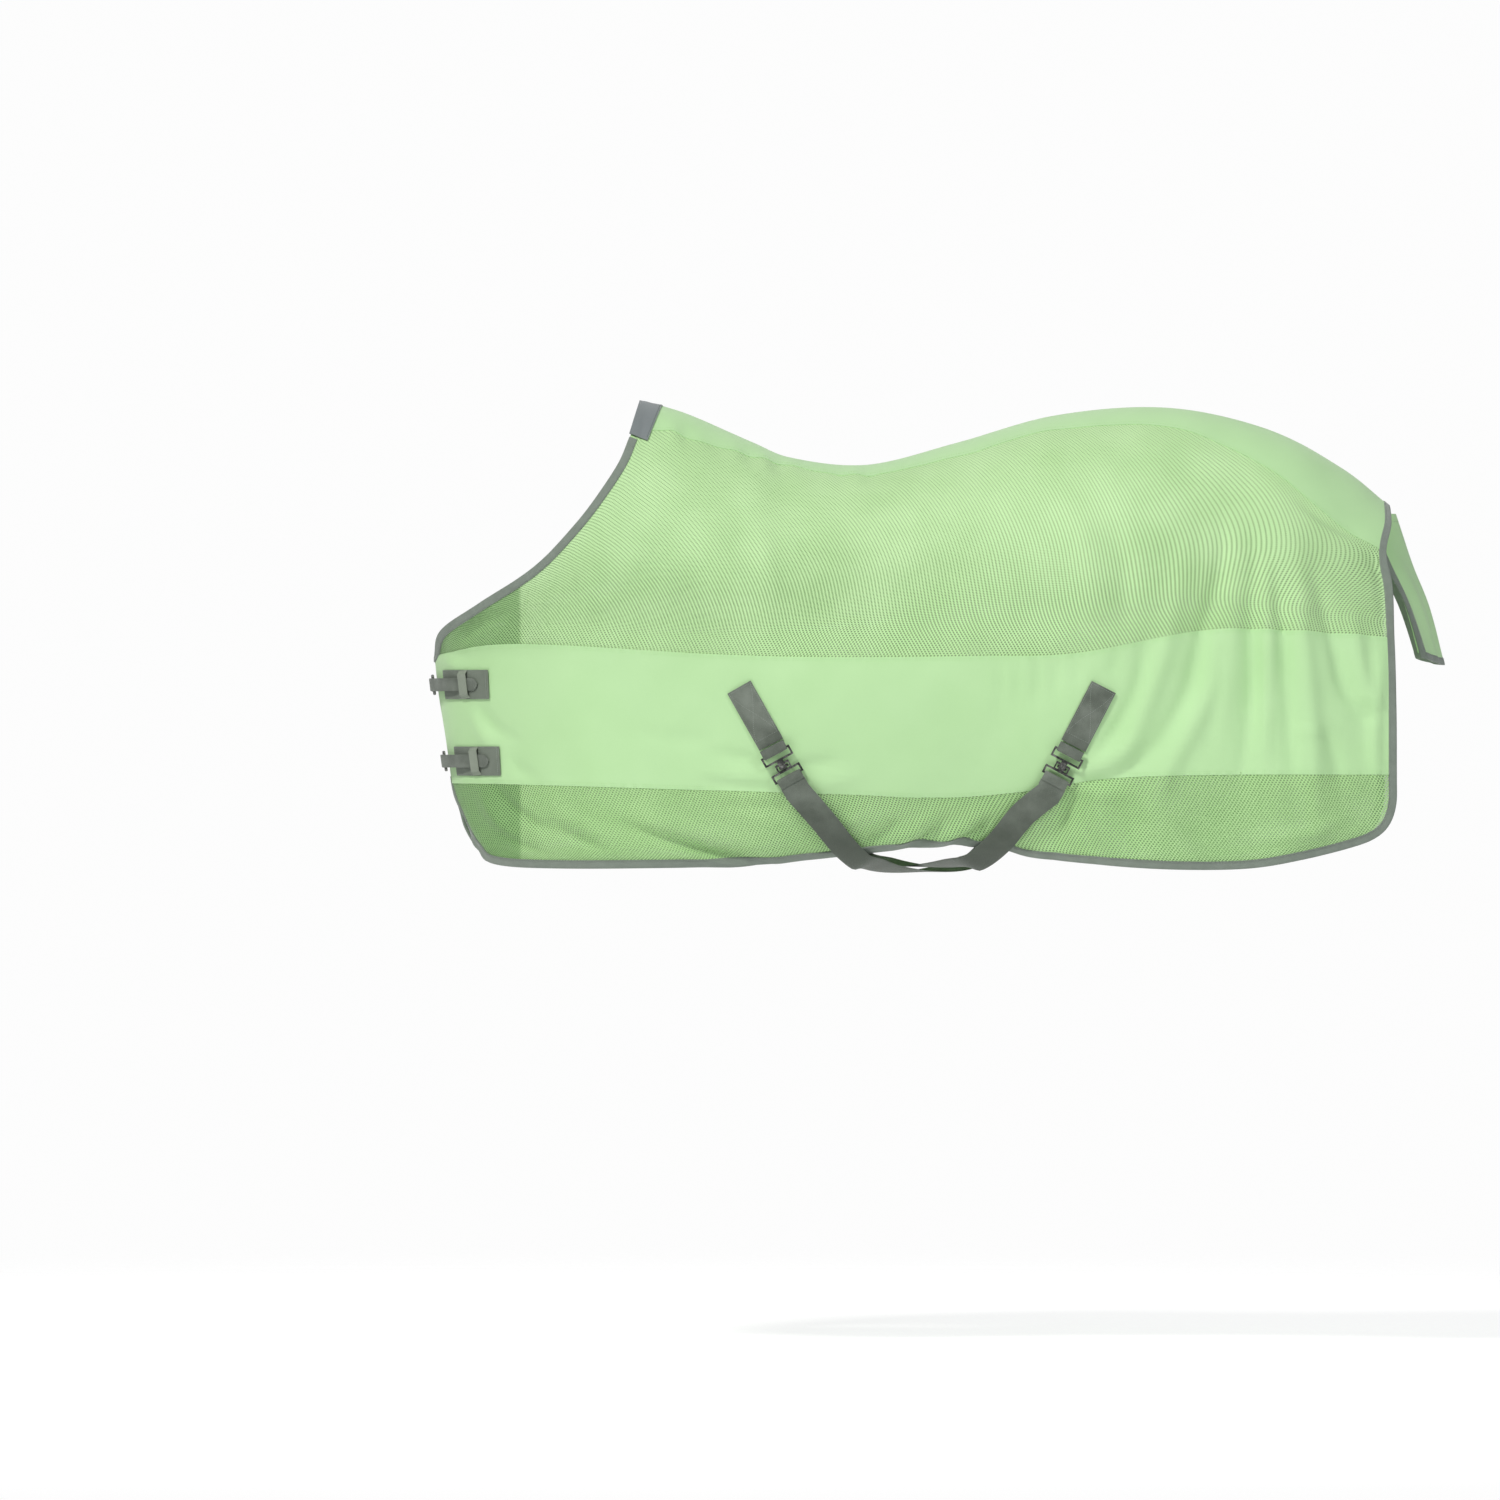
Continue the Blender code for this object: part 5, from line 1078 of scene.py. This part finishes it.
def bar_fold(name, matrix, origin, direction, node):
    """Webbing folded round a flat bar and sewn back on itself."""
    rise, reach = HOOK_THICK / 2 + 0.0009 + 0.0015 / 2, HOOK_BAR / 2 + 0.0009 + 0.0015 / 2
    path = [(direction * 0.0130, 0, rise * 0.52), (direction * 0.0100, 0, rise * 0.72),
            (direction * 0.005, 0, rise)]
    path += [(-direction * math.sin(t) * reach, 0, math.cos(t) * rise) for t in np.linspace(0, math.pi, 13)]
    path += [(direction * 0.005, 0, -rise), (direction * 0.0100, 0, -rise * 0.72),
             (direction * 0.0130, 0, -rise * 0.52)]
    places = set_out(matrix, np.array(path) + origin)
    outs = np.cross(np.gradient(places, axis=0), matrix[:3, 1])
    ribbon(name, places, outs, WEB_WIDTH - 0.0016, 0.0015, FINISH["webbing"], "sheet", [node])


def strap_station(which, t, entry, leave):
    """A place on a belly strap and the way its face points, hung straight between entry and leave."""
    run = smooth_run(STRAP_RUNS[which], 40)
    share = np.linspace(0, 1, len(run))
    x, z = np.interp(t, share, run[:, 0]), np.interp(t, share, run[:, 1])
    if entry <= t <= leave:
        ends = [strap_station(which, limit, 2, 2)[0] for limit in (entry, leave)]
        y = ends[0][1] + (ends[1][1] - ends[0][1]) * (x - ends[0][0]) / (ends[1][0] - ends[0][0])
        return np.array([x, y, z]), unit(np.array([0, y, -0.20]))
    place, outer = skin(x, z, np.float64(0.0130)), skin(x, z, np.float64(0.0230))
    out = unit(outer - place)
    if t > 0.5:
        place[1], out[1] = -place[1], -out[1]
    return place, out


def make_surcingle(which):
    """One belly strap with its tab, clip and far patch. Gives the tab's and the patch's faces."""
    matrix = clip_axes(which)
    start = HOOK_DEPTH + 0.0048
    level = -HOOK_THICK - 0.0008
    far_bar = start + SLOT_BODY + HOOK_DEPTH - HOOK_BAR / 2
    along = np.linspace(-TAB_LENGTH, -0.007, 40)
    low = np.array([beside_clip(which, a, 0, CLOTH_TOP + LAID + 0.0015) for a in along])
    high = np.array([beside_clip(which, a, 0, 0.02) for a in along])
    tab = ribbon(f"surcingle_{which}_tab", low, high - low, WEB_WIDTH, 0.0030, FINISH["webbing"], "sheet",
                 [f"surcingle_tab_{which}"], across=20, crown=0.0008)
    bar_fold(f"surcingle_{which}_hook_fold", matrix, (0, 0, 0), -1, f"hook_fold_{which}")
    bar_fold(f"surcingle_{which}_strap_fold", matrix, (far_bar, 0, level), 1, f"strap_fold_{which}")
    eased(f"t_hook_{which}", f"hook_{which}_plate", "clip", f"hook_{which}", 0.0007)
    eased(f"slot_plate_{which}", f"slot_{which}_plate", "clip", "sheet", 0.0007)
    run = smooth_run(STRAP_RUNS[which], 40)
    below = np.flatnonzero(run[:, 1] < UNDER_BELLY) / (len(run) - 1)
    out = matrix[:3, 2]
    stations = [(set_out(matrix, (far_bar + d, 0, level)), out) for d in (0.0125, 0.021, 0.030)]
    stations += [strap_station(which, t, below[0], below[-1]) for t in np.linspace(0.085, 1.0, 70)]
    places = np.array([s[0] for s in stations])
    outs = np.array([s[1] for s in stations])
    for _ in range(3):
        outs[1:-1] = unit(outs[:-2] + outs[1:-1] * 2 + outs[2:])
    for _ in range(2):
        places[3:-1] = (places[2:-2] + places[3:-1] * 2 + places[4:]) / 4
    walked = np.linspace(0, 1, len(places))
    swell = (0.0022 * np.sin(np.pi * np.clip(walked * 1.6, 0, 1))
             + 0.0008 * np.sin(walked * 40) * (walked > 0.05))
    ribbon(f"surcingle_{which}_strap", places, outs, WEB_WIDTH, WEB_THICK, FINISH["webbing"], "sheet",
           [f"surcingle_strap_{which}"], across=20, belly=swell)
    (x, z), before = STRAP_RUNS[which][-1], STRAP_RUNS[which][-2]
    down = unit(np.array([before[0] - x, before[1] - z]))
    flat = [np.array([x, z]) + down * a for a in np.linspace(-0.012, 0.113, 40)]
    low = np.array([skin(f[0], f[1], np.float64(CLOTH_TOP + LAID + 0.0007), 1) for f in flat])
    high = np.array([skin(f[0], f[1], np.float64(0.02), 1) for f in flat])
    patch = ribbon(f"surcingle_{which}_patch", low, high - low, 0.062, PATCH_THICK, FINISH["patch"], "sheet",
                   [f"surcingle_patch_{which}"], across=20)
    return tab, patch


# ---------------------------------------------------------------- stitches
def stitch_tree():
    """Thread laid in stitches along a line: one small spindle for each stitch."""
    tree = bpy.data.node_groups.new("stitch_row", "GeometryNodeTree")
    face = tree.interface
    face.new_socket("Line", in_out="INPUT", socket_type="NodeSocketGeometry")
    face.new_socket("Stitch length", in_out="INPUT", socket_type="NodeSocketFloat")
    face.new_socket("Thread thickness", in_out="INPUT", socket_type="NodeSocketFloat")
    face.new_socket("Thread", in_out="INPUT", socket_type="NodeSocketMaterial")
    face.new_socket("Stitches", in_out="OUTPUT", socket_type="NodeSocketGeometry")

    def node(kind, settings=None, links=None):
        made = tree.nodes.new(kind)
        for key, value in (settings or {}).items():
            setattr(made, key, value)
        for key, value in (links or {}).items():
            if isinstance(value, bpy.types.NodeSocket):
                tree.links.new(value, made.inputs[key])
            else:
                made.inputs[key].default_value = value
        return made

    given = node("NodeGroupInput")
    curve = node("GeometryNodeMeshToCurve", {}, {"Mesh": given.outputs["Line"]})
    points = node("GeometryNodeResampleCurve", {"mode": "LENGTH"},
                  {"Curve": curve.outputs[0], "Length": given.outputs["Stitch length"]})
    spindle = node("GeometryNodeMeshUVSphere", {}, {"Segments": 6, "Rings": 4, "Radius": 0.5})
    turn = node("FunctionNodeAlignRotationToVector", {"axis": "X"},
                {"Vector": node("GeometryNodeInputTangent").outputs[0]})
    long = node("ShaderNodeMath", {"operation": "MULTIPLY"}, {0: given.outputs["Stitch length"], 1: 0.74})
    size = node("ShaderNodeCombineXYZ", {}, {"X": long.outputs[0], "Y": given.outputs["Thread thickness"],
                                             "Z": given.outputs["Thread thickness"]})
    placed = node("GeometryNodeInstanceOnPoints", {}, {
        "Points": points.outputs[0], "Instance": spindle.outputs["Mesh"], "Rotation": turn.outputs[0],
        "Scale": size.outputs[0]})
    real = node("GeometryNodeRealizeInstances", {}, {"Geometry": placed.outputs[0]})
    painted = node("GeometryNodeSetMaterial", {},
                   {"Geometry": real.outputs[0], "Material": given.outputs["Thread"]})
    node("NodeGroupOutput", {}, {"Stitches": painted.outputs[0]})
    return tree


def sew(name, lines, thread, body, length=STITCH, thick=THREAD):
    """Stitches along lines of places, made one plain mesh."""
    places, edges = [], []
    for line in lines:
        first = len(places)
        places += [tuple(map(float, p)) for p in line]
        edges += [(first + k, first + k + 1) for k in range(len(line) - 1)]
    mesh = bpy.data.meshes.new(name + "_line")
    mesh.from_pydata(places, edges, [])
    guide = bpy.data.objects.new(name + "_line", mesh)
    bpy.context.scene.collection.objects.link(guide)
    modifier = guide.modifiers.new("stitches", "NODES")
    modifier.node_group = STITCH_ROW
    for item in STITCH_ROW.interface.items_tree:
        value = {"Stitch length": length, "Thread thickness": thick, "Thread": FINISH[thread]}.get(item.name)
        if value is not None:
            modifier[item.identifier] = value
    bpy.context.view_layer.update()
    graph = bpy.context.evaluated_depsgraph_get()
    sewn = bpy.data.meshes.new_from_object(guide.evaluated_get(graph), depsgraph=graph)
    bpy.data.objects.remove(guide)
    sewn.name = name
    return finished(name, sewn, FINISH[thread], body, 80)


def over(face, rows, columns):
    """A line over a grid of places, through (row, column) shares, and the way the grid faces there."""
    r = np.array(rows) * (face.shape[0] - 1)
    c = np.array(columns) * (face.shape[1] - 1)
    r0, c0 = np.minimum(r.astype(int), face.shape[0] - 2), np.minimum(c.astype(int), face.shape[1] - 2)
    fr, fc = (r - r0)[:, None], (c - c0)[:, None]
    a, b = face[r0, c0], face[r0, c0 + 1]
    d, e = face[r0 + 1, c0], face[r0 + 1, c0 + 1]
    place = (1 - fr) * ((1 - fc) * a + fc * b) + fr * ((1 - fc) * d + fc * e)
    out = unit(np.cross(d - a, b - a))
    return place, out


def box_and_cross(face, top, foot, left, right, cross=True):
    """The sewn box, with a cross in it, that holds a patch or tab down."""
    corners = [(top, left), (foot, left), (foot, right), (top, right), (top, left)]
    runs = [corners] + ([[(top, left), (foot, right)], [(top, right), (foot, left)]] if cross else [])
    away = np.array([0, math.copysign(1, face.reshape(-1, 3).mean(0)[1]), 0])
    lines = []
    for run in runs:
        rows, columns = [], []
        for (r0, c0), (r1, c1) in zip(run, run[1:]):
            t = np.linspace(0, 1, 30)
            rows += list(r0 + (r1 - r0) * t)
            columns += list(c0 + (c1 - c0) * t)
        place, out = over(face, rows, columns)
        out = out * np.sign(out @ away)[:, None]
        lines.append(place + out * STITCH_PROUD)
    return lines


def make_stitches(webbing_rows):
    """The seams' and tapes' stitching on both sides, and the webbing's from the rows given."""
    green, grey = [], []
    for word, side in SIDES.items():
        for points, drop, lift in ((STRIP_EDGE, 0.0028, 0.0020), (FLANK_TOP, -0.0028, 0.0020),
                                   (FLANK_TOP, -0.0062, 0.0020), (FLANK_FOOT, 0.0028, 0.0020),
                                   (FLANK_FOOT, 0.0062, 0.0020)):
            run = stations_of(points, 0.006)[2:-2] + (0, drop)
            green.append(cloth(run[:, 0], run[:, 1], lift, side))
        for run in tape_rows[word]:
            run = run[2:-2]
            grey.append(cloth(run[:, 0], run[:, 1], TAPE_MIDDLE + TAPE_HALF + 0.0002, side))
        seam = stations_of(LINING_SEAM, 0.006)[2:-2]
        green.append(cloth(seam[:, 0], seam[:, 1], 0.0014, side))
    sew("seam_stitching", green, "green_thread", "sheet")
    sew("tape_stitching", grey, "grey_thread", "sheet")
    sew("webbing_stitching", webbing_rows, "pale_thread", "sheet", 0.0034, 0.0005)


# ---------------------------------------------------------------- the whole sheet
STITCH_ROW = stitch_tree()
tape_rows = {"near": [], "far": []}
make_topline()
for side_word in SIDES:
    make_panels(side_word)
patch_face = make_withers_patch()
make_tail_flap()
webbing_lines = []
for closure, height in CLOSURES.items():
    for sewn_patch in make_closure(closure, height):
        webbing_lines += box_and_cross(sewn_patch, 0.04, 0.96, 0.07, 0.93, cross=False)
for surcingle in CLIPS:
    tab_face, patch_top = make_surcingle(surcingle)
    webbing_lines += box_and_cross(tab_face, 0.03, 0.86, 0.12, 0.88)
    webbing_lines += box_and_cross(patch_top, 0.04, 0.96, 0.10, 0.90)
make_stitches(webbing_lines)
t = np.linspace(0.02, 0.98, 120)
edge_place, edge_out = over(patch_face, t, 0 * t + 0.93)
edge_out = edge_out * np.sign(edge_out[:, 2:3] + 1e-9)
sew("withers_stitching", [edge_place + edge_out * STITCH_PROUD], "dark_thread", "sheet",
    0.0036, 0.0007)

# ---------------------------------------------------------------- floor, light and camera
FLOOR_LEVEL, EYE, SOFT_LIGHT = -1.627, Vector((0.187, -24.0, -0.598)), 0.36
HALF_SEEN, SEEN_FROM = 1.275, 23.72     # half the width in view, at that distance from the eye
LIGHTS = [                              # name, place, aim, size, power, colour
    ("key_light", (-3.8, -6.2, 6.3), (0.45, -0.2, -0.35), (1.3, 1.3), 610, (1.0, 0.985, 0.95)),
    ("rear_fill", (3.4, -4.2, 2.0), (0.95, -0.2, -0.40), (1.8, 1.4), 76, (0.97, 0.99, 1.0)),
    ("back_light", (0.4, 4.2, 1.8), (0.5, 0, -0.3), (3.0, 2.5), 26, (1, 1, 1)),
]
scene = bpy.context.scene
scene.view_settings.view_transform = "Standard"


def make_floor():
    """A pale round floor that fades out towards its rim."""
    bm = bmesh.new()
    bmesh.ops.create_circle(bm, cap_ends=True, segments=96, radius=14.0)
    bmesh.ops.translate(bm, vec=(0.4, 0, FLOOR_LEVEL), verts=bm.verts)
    mesh = mesh_from(bm, "studio_floor")
    floor = bpy.data.objects.new("studio_floor", mesh)
    scene.collection.objects.link(floor)
    f = Finish("pale_floor", Roughness=0.9, Specular_IOR_Level=0.1, Emission_Color=(1.0, 1.0, 1.0, 1.0),
               Emission_Strength=0.62)
    spot = f.out(f.node("ShaderNodeVectorMath", {"operation": "LENGTH"}, {0: f.place()}), "Value")
    material = f.set(Base_Color=f.mix(f.noise(3.0), (0.60, 0.60, 0.595), (0.62, 0.62, 0.615)),
                     Alpha=f.span(spot, 1.6, 5.5, 1.0, 0.0))
    mesh.materials.append(material)


def area_light(name, place, aim, size, power, colour):
    """A rectangular lamp turned to face a place."""
    lamp = bpy.data.lights.new(name, "AREA")
    lamp.shape, lamp.size, lamp.size_y = "RECTANGLE", size[0], size[1]
    lamp.energy, lamp.color = power, colour
    light = bpy.data.objects.new(name, lamp)
    light.location = place
    light.rotation_euler = (Vector(aim) - Vector(place)).to_track_quat("-Z", "Y").to_euler()
    scene.collection.objects.link(light)


make_floor()
for lamp_row in LIGHTS:
    area_light(*lamp_row)
world = bpy.data.worlds.new("studio")
scene.world = world
world.use_nodes = True
sky = world.node_tree
sky.nodes["Background"].inputs[0].default_value = (0.96, 0.98, 1.0, 1)
sky.nodes["Background"].inputs[1].default_value = SOFT_LIGHT
plain = sky.nodes.new("ShaderNodeBackground")
plain.inputs[0].default_value, plain.inputs[1].default_value = (1, 1, 1, 1), 0.98
seen, choose = sky.nodes.new("ShaderNodeLightPath"), sky.nodes.new("ShaderNodeMixShader")
sky.links.new(seen.outputs["Is Camera Ray"], choose.inputs[0])
sky.links.new(sky.nodes["Background"].outputs[0], choose.inputs[1])
sky.links.new(plain.outputs[0], choose.inputs[2])
sky.links.new(choose.outputs[0], sky.nodes["World Output"].inputs[0])
camera_data = bpy.data.cameras.new("camera")
camera_data.sensor_width = 36.0
camera_data.lens = 36.0 / 2 / (HALF_SEEN / SEEN_FROM)
camera = bpy.data.objects.new("camera", camera_data)
camera.location = EYE
camera.rotation_euler = (math.radians(90), 0, 0)
scene.collection.objects.link(camera)
scene.camera = camera
